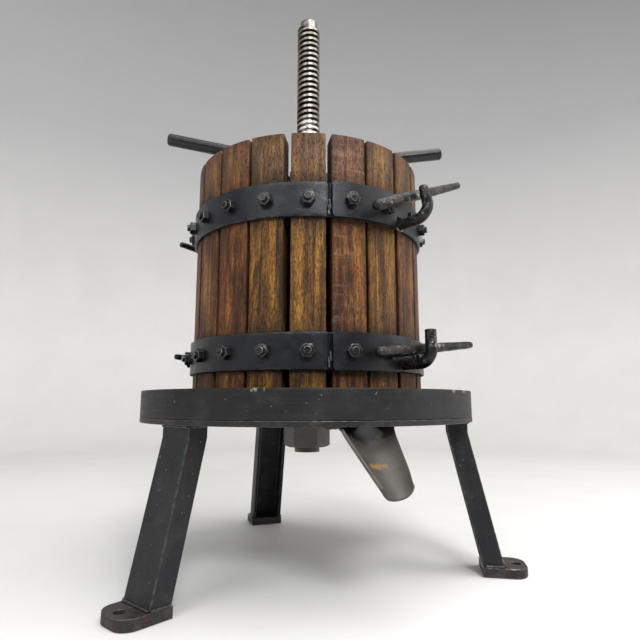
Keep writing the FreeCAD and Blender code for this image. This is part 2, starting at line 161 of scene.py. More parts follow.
def sheet(inner, outer, bulge):
    """Closed sheet between two grids of points. Its border runs through a row half-way between them that
    stands out along the surface, so that the edge is round."""
    nu, nv = inner.shape[:2]
    u = np.concatenate([[0] * nv, np.arange(1, nu), [nu - 1] * (nv - 1), np.arange(nu - 2, 0, -1)])
    v = np.concatenate([np.arange(nv), [nv - 1] * (nu - 1), np.arange(nv - 2, -1, -1), [0] * (nu - 2)])
    middle = (inner[u, v] + outer[u, v]) / 2
    inland = (inner + outer)[np.clip(u, 1, nu - 2), np.clip(v, 1, nv - 2)] / 2
    away = middle - inland
    middle = middle + away / np.linalg.norm(away, axis=1)[:, None] * bulge
    count, n = nu * nv, len(u)
    lower, upper, mid = u * nv + v, u * nv + v + count, 2 * count + np.arange(n)
    grid = grid_quads(nu, nv, False, False)
    strips = [np.stack([a, np.roll(a, -1), np.roll(b, -1), b], -1) for a, b in ((lower, mid), (mid, upper))]
    return outward({"points": np.concatenate([inner.reshape(-1, 3), outer.reshape(-1, 3), middle]),
                    "quads": np.concatenate([grid, grid[:, ::-1] + count, *strips]),
                    "tris": np.zeros((0, 3), int)})


def rounded_box_outline(x0, x1, y0, y1, r, steps=4, along=10):
    """Outline of a rectangle with round corners: points, outward normals, and edge, 1 on the corners."""
    centres = np.array([(x1 - r, y1 - r), (x0 + r, y1 - r), (x0 + r, y0 + r), (x1 - r, y0 + r)])
    points, normals, edge = [], [], []
    for i, centre in enumerate(centres):
        a = np.radians(90 * i + np.linspace(0, 90, steps + 1))
        n = np.stack([np.cos(a), np.sin(a)], -1)
        points.append(centre + r * n)
        normals.append(n)
        edge.append(np.ones(steps + 1))
        start, stop = points[-1][-1], centres[(i + 1) % 4] + r * n[-1]
        share = (np.arange(along) + 1)[:, None] / (along + 1)
        points.append(start + (stop - start) * share)
        normals.append(np.repeat(n[-1:], along, 0))
        edge.append(np.zeros(along))
    return np.concatenate(points), np.concatenate(normals), np.concatenate(edge)


CAP_RINGS = 4


def rounded_end(centre, inwards, radius, amount):
    """Rings of a quarter circle that rounds a bar's end over: centres from the tip inwards, and radii."""
    angle = np.linspace(0, np.pi / 2, CAP_RINGS + 1)[:-1]
    return centre - np.outer(amount * np.cos(angle), inwards), radius - amount * (1 - np.sin(angle))


def pipe(path, radius, around=28, round_start=0.0, round_end=0.0, dents=0.0, seed=1, flat=0.0):
    """Round bar along a path. Each ring lies square to the path, on two directions carried along without
    twist. Its ends are rounded over as quarter circles, and dents push the skin inwards by smooth bumps."""
    path = np.asarray(path, float)
    tangent = np.gradient(path, axis=0)
    tangent /= np.linalg.norm(tangent, axis=1)[:, None]
    helper = np.array([0.0, 0.0, 1.0]) if abs(tangent[0, 2]) < 0.9 else np.array([1.0, 0.0, 0.0])
    side = np.cross(path[-1] - path[0], helper)
    side /= np.linalg.norm(side)
    first = side - (tangent @ side)[:, None] * tangent
    first /= np.linalg.norm(first, axis=1)[:, None]
    second = np.cross(tangent, first)
    radii = np.broadcast_to(radius, len(path)).copy()
    spine = np.concatenate([path, radii[:, None], first, second], 1)
    if round_start:
        spine = capped(spine, tangent[0], round_start)
    if round_end:
        spine = capped(spine[::-1], -tangent[-1], round_end)[::-1]
    centres, radii, first, second = spine[:, :3], spine[:, 3], spine[:, 4:7], spine[:, 7:]
    a = np.linspace(0, 2 * np.pi, around, endpoint=False)
    n = first[:, None] * np.cos(a)[None, :, None] + second[:, None] * np.sin(a)[None, :, None]
    squash = 1 - flat * (0.5 + 0.5 * np.cos(4 * a + 0.6))
    rings = centres[:, None] + n * (radii[:, None] * squash)[..., None]
    if dents:
        broad, fine = (0.5 + 0.5 * ripple(rings, *bump) for bump in ((0.011, seed), (0.004, seed + 1)))
        rings = rings - n * (dents * broad + 0.4 * dents * fine)[..., None]
    return shell(rings)


def capped(spine, inwards, amount):
    """Spine of a bar, a row of centre, radius and two directions per ring, its first end rounded over."""
    start = spine[0, :3] + inwards * amount
    near = (spine[:6, :3] - start) @ inwards <= 1e-6
    rest = spine[np.count_nonzero(near):]
    centres, radii = rounded_end(start, inwards, spine[0, 3], amount)
    directions = np.repeat(spine[:1, 4:], CAP_RINGS + 1, 0)
    centres = np.concatenate([centres, start[None]])
    radii = np.append(radii, spine[0, 3])
    return np.concatenate([np.concatenate([centres, radii[:, None], directions], 1), rest])


def bead(path, normal, radius, seed):
    """Weld bead: a pipe whose radius swells and shrinks along the path like overlapping drops."""
    path = np.asarray(path, float)
    run = np.concatenate([[0], np.cumsum(np.linalg.norm(np.diff(path, axis=0), axis=1))])
    drops = np.abs(np.sin(run / (1.5 * radius) + 0.6 * ripple(path, 0.01, seed)))
    r = radius * (0.78 + 0.22 * drops + 0.12 * ripple(path, 0.006, seed + 3))
    raised = path + np.asarray(normal) * radius * 0.1
    return pipe(raised, r, 12, 0.4 * radius, 0.4 * radius, 0.05 * radius, seed)


# ---- pieces ----------------------------------------------------------------
def make_mesh(name, solids, smooth_angle=38):
    """Mesh of several solids, written as whole arrays, with their shared per-point fields as attributes."""
    counts = np.cumsum([0] + [len(s["points"]) for s in solids])
    points = np.concatenate([s["points"] for s in solids])
    quads = np.concatenate([s["quads"] + n for s, n in zip(solids, counts)])
    tris = np.concatenate([s["tris"] + n for s, n in zip(solids, counts)])
    mesh = bpy.data.meshes.new(name)
    mesh.vertices.add(len(points))
    mesh.vertices.foreach_set("co", points.astype(np.float32).ravel())
    mesh.loops.add(quads.size + tris.size)
    mesh.loops.foreach_set("vertex_index", np.concatenate([quads.ravel(), tris.ravel()]).astype(np.int32))
    starts = np.concatenate([4 * np.arange(len(quads)), quads.size + 3 * np.arange(len(tris))])
    mesh.polygons.add(len(starts))
    mesh.polygons.foreach_set("loop_start", starts.astype(np.int32))
    mesh.update(calc_edges=True)
    for field in solids[0]:
        if field in ("points", "quads", "tris"):
            continue
        values = np.concatenate([s[field] for s in solids]).astype(np.float32)
        kind, slot = ("FLOAT_VECTOR", "vector") if values.ndim == 2 else ("FLOAT", "value")
        mesh.attributes.new(field, kind, "POINT").data.foreach_set(slot, values.ravel())
    shade(mesh, smooth_angle)
    return mesh


def shade(mesh, smooth_angle):
    mesh.polygons.foreach_set("use_smooth", np.ones(len(mesh.polygons), bool))
    mesh.set_sharp_from_angle(angle=math.radians(smooth_angle))


def add_piece(name, mesh, body, slot, *materials, replaces=()):
    """Object at the origin that rides on a body and stands for some CAD nodes; its slot argument is not used.
    """
    piece = bpy.data.objects.new(name, mesh)
    bpy.context.scene.collection.objects.link(piece)
    for material in materials:
        mesh.materials.append(material)
    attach(piece, body)
    if replaces:
        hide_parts(*replaces)
    return piece


def softened(node, body, slot, width, material, edge_material, angle=35):
    """Copy of a CAD node, its doubles merged and its flat faces made whole, its sharp edges bevelled."""
    mesh = frame["nodes"][node].data.copy()
    work = bmesh.new()
    work.from_mesh(mesh)
    bmesh.ops.remove_doubles(work, verts=work.verts, dist=2e-6)
    bmesh.ops.dissolve_limit(work, angle_limit=math.radians(0.4), verts=work.verts, edges=work.edges)
    work.to_mesh(mesh)
    work.free()
    mesh.materials.clear()
    mesh.name = node + "_soft"
    shade(mesh, 30)
    piece = add_piece(node + "_look", mesh, body, slot, material, edge_material, replaces=(node,))
    bevel = piece.modifiers.new("worn edges", "BEVEL")
    bevel.width = width
    bevel.segments = 2
    bevel.limit_method = "ANGLE"
    bevel.angle_limit = math.radians(angle)
    bevel.material = 1
    bevel.harden_normals = True
    bevel.use_clamp_overlap = True
    return piece


def finish_node(name, *materials):
    """Gives a CAD node that is shown as it is its materials."""
    mesh = frame["nodes"][name].data
    mesh.materials.clear()
    for material in materials:
        mesh.materials.append(material)


# ---- materials -------------------------------------------------------------
class Finish:
    """A node material built up from short calls; every call returns an output socket."""

    made = {}

    def __init__(self, name):
        self.material = bpy.data.materials.new(name)
        self.material.use_nodes = True
        self.tree = self.material.node_tree
        self.shader = self.tree.nodes["Principled BSDF"]
        Finish.made[name] = self.material

    def node(self, kind, inputs, output=0, **props):
        made = self.tree.nodes.new("ShaderNode" + kind)
        for key, value in props.items():
            setattr(made, key, value)
        for key, value in inputs.items():
            if isinstance(value, bpy.types.NodeSocket):
                self.tree.links.new(value, made.inputs[key])
            else:
                made.inputs[key].default_value = value
        return made.outputs[output]

    def place(self):
        return self.node("TexCoord", {}, "Object")

    def field(self, name, output="Fac"):
        return self.node("Attribute", {}, output, attribute_name=name)

    def stretched(self, vector, scale, offset=(0, 0, 0)):
        return self.node("Mapping", {"Vector": vector, "Scale": scale, "Location": offset})

    def noise(self, vector, scale=1.0, detail=3.0, roughness=0.55, distortion=0.0):
        return self.node("TexNoise", {"Vector": vector, "Scale": scale, "Detail": detail,
                                      "Roughness": roughness, "Distortion": distortion})

    def span(self, value, low, high, to_low=0.0, to_high=1.0):
        """Value carried from one range to another and kept inside it."""
        return self.node("MapRange", {"Value": value, "From Min": low, "From Max": high,
                                      "To Min": to_low, "To Max": to_high})

    def sum(self, operation, a, b=0.0):
        return self.node("Math", {0: a, 1: b}, operation=operation)

    def blend(self, factor, a, b, how="MIX"):
        a, b = (c if isinstance(c, bpy.types.NodeSocket) else (*c, 1) for c in (a, b))
        return self.node("Mix", {0: factor, 6: a, 7: b}, 2, data_type="RGBA", blend_type=how)

    def patches(self, vector, scale, detail, roughness, low, high, to_low=0.0, to_high=1.0):
        """Noise spread over a range."""
        return self.span(self.noise(vector, scale, detail, roughness), low, high, to_low, to_high)

    def cover(self, base, top, where, share=1.0):
        """Base colour with some of another laid over it where a value says so."""
        return self.blend(self.sum("MULTIPLY", where, share), base, top)

    def axis(self, vector, name):
        return self.node("SeparateXYZ", {"Vector": vector}, name)

    def radius(self, vector):
        """Distance from the screw's axis."""
        flat = self.node("VectorMath", {0: vector, 1: (1.0, 1.0, 0.0)}, operation="MULTIPLY")
        return self.node("VectorMath", {0: flat}, "Value", operation="LENGTH")

    def dot(self, vector, axis):
        return self.node("VectorMath", {0: vector, 1: tuple(axis)}, "Value", operation="DOT_PRODUCT")

    def done(self, colour, roughness, height=None, depth=0.0002, strength=0.6, metal=0.0, **constants):
        self.tree.links.new(colour, self.shader.inputs["Base Color"])
        self.tree.links.new(roughness, self.shader.inputs["Roughness"])
        if isinstance(metal, bpy.types.NodeSocket):
            self.tree.links.new(metal, self.shader.inputs["Metallic"])
        else:
            self.shader.inputs["Metallic"].default_value = metal
        for key, value in constants.items():
            self.shader.inputs[key.replace("_", " ")].default_value = value
        if height is not None:
            bump = self.node("Bump", {"Height": height, "Distance": depth, "Strength": strength})
            self.tree.links.new(bump, self.shader.inputs["Normal"])
        return self.material


def stave_wood():
    """Oiled oak: long fibres, open pores, broad figure, rays on some staves, and grime mixed with painted
    shade beside the bands, at the ends and in the gaps between staves.
    """
    look = bpy.context.scene.press_wood
    f = Finish("stained_oak")
    grain = f.field("grain", "Vector")
    tone, rays, grime = f.field("tone"), f.field("rays"), f.field("grime")
    fibre = f.noise(f.stretched(grain, (760, 760, 110)), detail=4, roughness=0.6)
    streak = f.noise(f.stretched(grain, (210, 210, 7)), detail=5, roughness=0.65, distortion=0.5)
    figure = f.noise(f.stretched(grain, (52, 52, 13), (0, 3, 5)), detail=3, distortion=0.8)
    pore = f.span(f.noise(f.stretched(grain, (1500, 1500, 300)), detail=2), 0.45, 0.36)
    red = f.blend(f.span(streak, 0.36, 0.64), look.red_dark, look.red_light)
    gold = f.blend(f.span(streak, 0.36, 0.64), look.gold_dark, look.gold_light)
    share = f.sum("ADD", tone, f.span(figure, 0.3, 0.7, -0.55, 0.55))
    colour = f.blend(f.span(share, 0.2, 0.8), red, gold)
    tint = f.sum("MULTIPLY", f.span(fibre, 0.30, 0.70, 0.45, 1.50), f.span(figure, 0.3, 0.7, 0.66, 1.22))
    colour = f.blend(1.0, colour, f.node("CombineColor", {0: tint, 1: tint, 2: tint}), "MULTIPLY")
    stain = f.noise(f.stretched(grain, (62, 62, 16), (3, 1, 7)), detail=4, roughness=0.6, distortion=0.6)
    colour = f.blend(f.span(stain, 0.50, 0.66, 0.0, 0.82), colour, look.dark_stain)
    height_up = f.axis(f.place(), "Z")
    weathered = f.span(height_up, BAND_Z["upper"][1] - 0.004, BAND_Z["upper"][1] + 0.02, 0.0, 0.45)
    weathered = f.sum("MULTIPLY", weathered, f.span(fibre, 0.3, 0.7, 0.3, 1.0))
    colour = f.blend(weathered, colour, look.weathered)
    band = f.noise(f.stretched(grain, (26, 26, 210), (1, 5, 2)), detail=3, distortion=0.7)
    where = f.noise(f.stretched(grain, (26, 26, 30), (8, 2, 1)), detail=1)
    marks = f.sum("MULTIPLY", f.span(band, 0.54, 0.68), f.sum("MULTIPLY", f.span(where, 0.46, 0.58), rays))
    colour = f.cover(colour, look.ray, marks, 0.42)
    colour = f.cover(colour, look.pore, pore, 0.70)
    dust = f.noise(f.stretched(grain, (75, 75, 50)), detail=4)
    # Grime and painted shade: the wood is darkened under the bands and in the gaps between staves as painted
    # shade, above the bands as grime, and is darker too towards both ends.
    dirt_and_shade = f.sum("MULTIPLY", grime, f.span(dust, 0.3, 0.6, 0.4, 1.0))
    colour = f.cover(colour, look.grime, dirt_and_shade, 0.92)
    rough = f.sum("ADD", f.span(fibre, 0.2, 0.8, 0.36, 0.58), f.sum("MULTIPLY", dirt_and_shade, 0.18))
    height = f.sum("ADD", fibre, f.sum("MULTIPLY", marks, 0.3))
    height = f.sum("SUBTRACT", height, f.sum("MULTIPLY", pore, 0.9))
    return f.done(colour, rough, height, 0.0005, 0.9, Specular_IOR_Level=0.20)


def plain_wood():
    """Wet pressing board with the same fibres, running across the board."""
    look = bpy.context.scene.press_wood
    f = Finish("follower_oak")
    place = f.place()
    fibre = f.noise(f.stretched(place, (14, 560, 560)), detail=4, roughness=0.6)
    streak = f.noise(f.stretched(place, (3, 70, 70)), detail=3, distortion=0.4)
    colour = f.blend(f.span(streak, 0.3, 0.7), look.red_dark, look.red_light)
    colour = f.blend(f.span(fibre, 0.5, 0.7, 0, 0.6), colour, look.pore)
    return f.done(colour, f.span(fibre, 0.2, 0.8, 0.4, 0.65), fibre, 0.0003, 0.6)


def band_paint():
    """Blue-black enamel over hammered steel: fine orange peel, worn grey edges and a few rubbed spots."""
    look = bpy.context.scene.press_metal
    f = Finish("band_black")
    place = f.place()
    peel = f.noise(place, 900, 3, 0.6)
    cloud = f.noise(place, 38, 4, 0.6)
    blotch = f.noise(place, 120, 3, 0.6)
    colour = f.blend(f.span(cloud, 0.35, 0.7), look.band, tuple(c * 1.6 + 0.001 for c in look.band))
    edge = f.field("edge")
    worn = f.sum("MULTIPLY", edge, f.patches(place, 190, 5, 0.75, 0.50, 0.66))
    rubbed = f.span(f.noise(f.stretched(place, (1, 1, 1.6)), 170, 6, 0.75), 0.69, 0.76)
    wear = f.sum("MAXIMUM", worn, f.sum("MULTIPLY", rubbed, 0.5))
    colour = f.cover(colour, look.worn, wear, 0.45)
    rust = f.patches(place, 75, 5, 0.7, 0.66, 0.78)
    colour = f.cover(colour, (0.05, 0.028, 0.016), rust, 0.5)
    rough = f.sum("ADD", f.span(blotch, 0.3, 0.7, 0.24, 0.38), f.sum("MULTIPLY", peel, 0.10))
    height = f.sum("ADD", f.sum("MULTIPLY", peel, 0.55), f.sum("MULTIPLY", blotch, 0.8))
    return f.done(colour, rough, height, 0.00045, 0.8, f.span(wear, 0, 1, 0.0, 0.8), Specular_IOR_Level=0.34)


def edge_wear(name, base, bright, amount=0.6):
    """The rubbed edge of a painted or blackened steel piece: paint in patches, bare steel between them."""
    f = Finish(name)
    place = f.place()
    patch = f.patches(place, 210, 4, 0.65, 0.42, 0.60)
    colour = f.blend(f.sum("MULTIPLY", patch, amount), base, bright)
    return f.done(colour, f.span(patch, 0, 1, 0.48, 0.34), f.noise(place, 700, 3), 0.0002, 0.4,
                  f.span(patch, 0, 1, 0.2, 0.85))


def stand_paint(name, tint, dust=0.25, red=0.0, chips=0.0, brushed=(30, 30, 900)):
    """Brushed dark grey paint with fine scratches, dust and, where wanted, red scrapes or tan chips."""
    f = Finish(name)
    place = f.place()
    brush = f.noise(f.stretched(place, brushed), 1, 4, 0.6)
    cloud = f.noise(place, 24, 4, 0.6)
    fine = f.noise(place, 480, 4, 0.65)
    colour = f.blend(f.span(cloud, 0.3, 0.7), tint, tuple(1.55 * c + 0.002 for c in tint))
    colour = f.blend(f.span(brush, 0.48, 0.78, 0, 0.4), colour, tuple(2.6 * c + 0.004 for c in tint))
    grey = f.patches(place, 62, 5, 0.7, 0.5, 0.8, 0, dust)
    colour = f.blend(grey, colour, (0.16, 0.145, 0.125))
    speck = f.patches(place, 330, 3, 0.5, 0.70, 0.76)
    colour = f.cover(colour, (0.28, 0.27, 0.25), speck, 0.5)
    if red:
        scrape = f.noise(f.stretched(place, (1, 1, 0.45), (4, 2, 1)), 150, 5, 0.7)
        scrape = f.span(scrape, 0.72 - red, 0.76 - red)
        colour = f.cover(colour, (0.16, 0.02, 0.015), scrape, 0.7)
    if chips:
        top = f.span(f.axis(place, "Z"), RIM_HIGH.z - 0.0035, RIM_HIGH.z - 0.0005)
        where = f.span(f.noise(f.stretched(place, (1, 1, 0.3)), 115, 4, 0.6), 0.56, 0.60)
        patch = f.span(f.noise(f.stretched(place, (1, 1, 0.1), (2, 0, 0)), 9, 2, 0.5), 0.5, 0.6)
        chip = f.sum("MULTIPLY", top, f.sum("MULTIPLY", where, patch))
        colour = f.cover(colour, (0.34, 0.27, 0.19), chip, chips)
    rough = f.sum("ADD", f.span(brush, 0.3, 0.7, 0.42, 0.56), f.sum("MULTIPLY", grey, 0.5))
    height = f.sum("ADD", f.sum("MULTIPLY", brush, 0.6), f.sum("MULTIPLY", fine, 0.5))
    return f.done(colour, rough, height, 0.0003, 0.45, 0.0, Specular_IOR_Level=0.22)


def bare_steel(name, tint, brown=0.4, rough=0.42, spots=0.3, metal=0.75):
    """Uncoated mild steel: grey with brown bloom, dark pits and handling marks."""
    f = Finish(name)
    place = f.place()
    cloud = f.noise(place, 46, 5, 0.65)
    fine = f.noise(place, 420, 5, 0.7)
    colour = f.blend(f.span(cloud, 0.3, 0.7), tint, tuple(1.7 * c for c in tint))
    colour = f.blend(f.patches(place, 30, 4, 0.7, 0.42, 0.75, 0, brown), colour, (0.10, 0.062, 0.035))
    pits = f.patches(place, 240, 4, 0.6, 0.64, 0.74)
    colour = f.cover(colour, (0.012, 0.011, 0.010), pits, spots)
    dull = f.span(fine, 0.25, 0.75, rough - 0.1, rough + 0.12)
    dull = f.sum("ADD", dull, f.sum("MULTIPLY", pits, 0.2))
    height = f.sum("SUBTRACT", fine, f.sum("MULTIPLY", pits, 0.8))
    return f.done(colour, dull, height, 0.0003, 0.5, metal)


def spout_steel():
    """Bare sheet with a near-black root under the pan, partly soot and partly painted shade, a brown run mark
    and a small pit near the lip.
    """
    f = Finish("spout_sheet")
    place = f.place()
    cloud = f.noise(place, 60, 5, 0.65)
    fine = f.noise(place, 520, 4, 0.7)
    colour = f.blend(f.span(cloud, 0.3, 0.7), (0.046, 0.043, 0.037), (0.074, 0.069, 0.059))
    speckle = f.span(f.noise(place, 260, 3, 0.7, 0.6), 0.56, 0.70, 0, 0.5)
    colour = f.blend(speckle, colour, (0.085, 0.055, 0.030))
    lip, down_slope, along = spout_frame()
    from_lip = f.node("VectorMath", {0: place, 1: tuple(lip)}, operation="SUBTRACT")
    across = f.sum("ABSOLUTE", f.dot(from_lip, along))
    edge = f.sum("SUBTRACT", f.dot(from_lip, -down_slope), f.sum("MULTIPLY", across, 0.58))
    edge = f.sum("ADD", edge, f.patches(place, 70, 3, 0.6, 0.2, 0.8, -0.003, 0.003))
    # Painted shade: the root of the sheet under the pan is painted near black, partly soot and partly the
    # pan's shadow.
    soot_and_shade = f.span(edge, 0.66 * SPOUT_LENGTH, 0.74 * SPOUT_LENGTH)
    colour = f.blend(soot_and_shade, colour, (0.004, 0.004, 0.005))
    finishes = ((4.2 * MM, (0.20, 0.115, 0.035)), (1.0 * MM, (0.012, 0.010, 0.009)))
    for mark, (size, tint) in zip(SPOUT_MARKS, finishes):
        away = f.node("VectorMath", {0: place, 1: mark}, operation="SUBTRACT")
        away = f.node("VectorMath", {0: away, 1: (0.45, 1.0, 1.5)}, operation="MULTIPLY")
        far = f.sum("ADD", f.node("VectorMath", {0: away}, "Value", operation="LENGTH"),
                    f.patches(place, 330, 3, 0.6, 0.3, 0.7, -0.4 * size, 0.4 * size))
        colour = f.blend(f.span(far, size, 0.5 * size), colour, tint)
    rough, metal = f.span(fine, 0.25, 0.75, 0.36, 0.55), f.span(soot_and_shade, 0, 1, 0.25, 0.0)
    return f.done(colour, rough, fine, 0.0002, 0.35, metal, Specular_IOR_Level=0.35)


def screw_steel():
    """Machined screw: bright rubbed crests, greasy dark grooves and a chalky patch low on its front."""
    f = Finish("screw_worn")
    place = f.place()
    height = f.axis(place, "Z")
    crest = f.sum("MAXIMUM", f.span(f.radius(place), SCREW_R - 2.1 * MM, SCREW_R - 0.3 * MM),
                  f.span(height, SHOULDER_Z - 0.5 * MM, SHOULDER_Z + 0.5 * MM))
    crest = f.sum("MULTIPLY", crest, f.span(height, PAN_LOW.z - 0.010, PAN_LOW.z, 0.15, 1.0))
    fine = f.noise(f.stretched(place, (300, 300, 1500)), 1, 4, 0.6)
    cloud = f.noise(place, 110, 4, 0.7)
    bright = f.blend(f.span(cloud, 0.35, 0.7), (0.12, 0.108, 0.094), (0.44, 0.415, 0.38))
    colour = f.blend(crest, (0.030, 0.024, 0.019), bright)
    colour = f.blend(f.patches(place, 75, 4, 0.7, 0.48, 0.66, 0, 0.6), colour, (0.085, 0.050, 0.028))
    low = f.span(height, CHALK_LOW - 5 * MM, CHALK_LOW + 5 * MM)
    high = f.span(height, CHALK_HIGH + 5 * MM, CHALK_HIGH - 5 * MM)
    facing = f.span(f.dot(place, direction(CHALK_AZ)[0]), 4 * MM, 9 * MM)
    chalk = f.sum("MULTIPLY", f.sum("MULTIPLY", low, high), facing)
    chalk = f.sum("MULTIPLY", chalk, f.patches(place, 150, 4, 0.6, 0.38, 0.52))
    colour = f.cover(colour, (0.62, 0.60, 0.56), chalk, 0.85)
    rough, metal = f.span(fine, 0.2, 0.8, 0.24, 0.46), f.span(chalk, 0, 1, 0.9, 0.1)
    return f.done(colour, rough, fine, 0.0001, 0.35, metal)


def forged_steel():
    """Forged bar: grey-black scale with hammer facets and bright patches laid by noise, partly worn steel and
    partly painted highlight.
    """
    look = bpy.context.scene.press_metal
    f = Finish("forged_bar")
    place = f.place()
    cloud = f.noise(place, 85, 5, 0.7)
    fine = f.noise(place, 600, 4, 0.7)
    colour = f.blend(f.span(cloud, 0.38, 0.62), look.forged, tuple(4.5 * c for c in look.forged))
    # Painted highlight: bright patches laid by noise, partly worn steel and partly standing in for glints.
    worn_and_glint = f.patches(place, 170, 5, 0.75, 0.56, 0.66)
    colour = f.cover(colour, (0.30, 0.28, 0.245), worn_and_glint, 0.65)
    colour = f.blend(f.patches(place, 130, 4, 0.7, 0.62, 0.80, 0, 0.4), colour, (0.060, 0.040, 0.025))
    rough = f.sum("SUBTRACT", f.span(fine, 0.25, 0.75, 0.22, 0.40), f.sum("MULTIPLY", worn_and_glint, 0.06))
    height = f.sum("ADD", f.sum("MULTIPLY", fine, 0.5), cloud)
    return f.done(colour, rough, height, 0.0009, 0.9, 0.75, Specular_IOR_Level=0.5)


# ---- groups of settings ----------------------------------------------------
def colour_setting(name, description, default):
    return FloatVectorProperty(name=name, description=description, subtype="COLOR", size=3, min=0.0, max=1.0,
                               default=default)


def amount(name, description, default, low, high, unit="NONE"):
    return FloatProperty(name=name, description=description, default=default, min=low, max=high, unit=unit)


class PRESS_PG_wood(bpy.types.PropertyGroup):
    """Stain, grime and painted shade of the staves."""

    red_dark: colour_setting("Red stain, dark", "Late wood of the redder staves", (0.036, 0.0095, 0.0035))
    red_light: colour_setting("Red stain, light", "Early wood of the redder staves", (0.235, 0.078, 0.022))
    gold_dark: colour_setting("Gold stain, dark", "Late wood of the yellower staves", (0.048, 0.020, 0.005))
    gold_light: colour_setting("Gold stain, light", "Early wood, yellower staves", (0.320, 0.145, 0.024))
    dark_stain: colour_setting("Stained patches", "Juice stains in the wood", (0.022, 0.012, 0.006))
    ray: colour_setting("Rays", "Pale rays across the grain", (0.30, 0.16, 0.10))
    pore: colour_setting("Pores", "Open pores and checks", (0.009, 0.0035, 0.0015))
    # Colour of the grime above the bands and of the painted shade under the bands and in the gaps between
    # staves.
    grime: colour_setting("Grime", "Dirt beside the bands and at the ends", (0.010, 0.006, 0.004))
    weathered: colour_setting("Weathered tops", "Grey-brown above the upper band", (0.150, 0.100, 0.070))
    corner: amount("Corner", "Rounding of the staves' long corners", 1.3 * MM, 0.2 * MM, 3 * MM, "LENGTH")
    warp: amount("Warp", "How far the planed faces dip", 0.22 * MM, 0.0, 1 * MM, "LENGTH")


class PRESS_PG_metal(bpy.types.PropertyGroup):
    """Paint and hammer marks of the steel."""

    band: colour_setting("Band paint", "Blue-black enamel of bands and straps", (0.0024, 0.0032, 0.0052))
    worn: colour_setting("Worn edges", "Steel that shows through the enamel", (0.15, 0.15, 0.145))
    forged: colour_setting("Forged scale", "Scale on hooks and pins", (0.009, 0.0088, 0.0085))
    pan: colour_setting("Pan paint", "Paint of the pan", (0.0072, 0.0070, 0.0074))
    leg: colour_setting("Leg paint", "Paint of the legs", (0.0085, 0.0092, 0.0105))
    foot: colour_setting("Foot paint", "Worn paint of the foot plates", (0.016, 0.0145, 0.013))
    hammer: amount("Hammer marks", "Depth of the marks on the bands", 0.30 * MM, 0.0, 1 * MM, "LENGTH")
    bevel: amount("Edge rounding", "Rounding of the straps' edges", 0.27 * MM, 0.1 * MM, 2 * MM, "LENGTH")


class PRESS_PG_stage(bpy.types.PropertyGroup):
    """Camera and light."""

    lens: amount("Lens", "Focal length on a 36 mm sensor, in millimetres", 29.23, 10.0, 200.0)
    place: FloatVectorProperty(name="Camera", description="Where the camera stands", subtype="TRANSLATION",
                               unit="LENGTH", default=(-0.1674, -0.5152, 0.1535))
    turn: FloatVectorProperty(name="Aim", description="How the camera is turned", subtype="EULER",
                              default=(math.radians(99.06), 0.0, math.radians(-19.39)))
    key: amount("Key light", "Power of the overhead light", 25.0, 0.0, 500.0, "POWER")
    fill: amount("Fill light", "Power of the side light", 9.0, 0.0, 500.0, "POWER")
    sheen: amount("Front light", "Power of the high light in front", 24.0, 0.0, 500.0, "POWER")
    sky: amount("Room light", "Strength of the light from all round", 0.54, 0.0, 5.0)
    floor: colour_setting("Floor", "Colour of the floor and the wall", (0.72, 0.712, 0.695))


# ---- staves ----------------------------------------------------------------
# share of the yellow stain for each stave, from the one over the spout anticlockwise
STAVE_TONES = (0.26, 0.70, 0.55, 0.40, 0.30, 0.62, 0.45, 0.70, 0.25, 0.55,
               0.35, 0.66, 0.28, 0.48, 0.72, 0.38, 0.30, 0.14, 0.98, 0.60)
STAVE_RAYS = (1.0, 0.1, 0.3, 0.6, 0.0, 0.1, 0.9, 0.0, 0.2, 0.0,
              0.7, 0.0, 0.3, 0.1, 0.0, 0.8, 0.1, 0.0, 0.0, 0.12)
# wood added on the clockwise and anticlockwise sides, in millimetres
STAVE_EXTRA = ((-0.1, 1.0), (1.1, 0.5), (0.6, 0.9), (0.9, 0.4), (0.6, 0.9), (0.2, 0.8), (0.5, 1.0),
               (0.8, 0.1), (0.6, 0.7), (0.9, 0.3), (0.4, 0.8), (0.7, 0.6), (0.2, 0.9), (0.8, 0.5), (0.9, 0.2),
               (0.6, 0.8), (0.7, 1.0), (0.8, 1.1), (1.0, -0.6), (-0.5, 0.1))


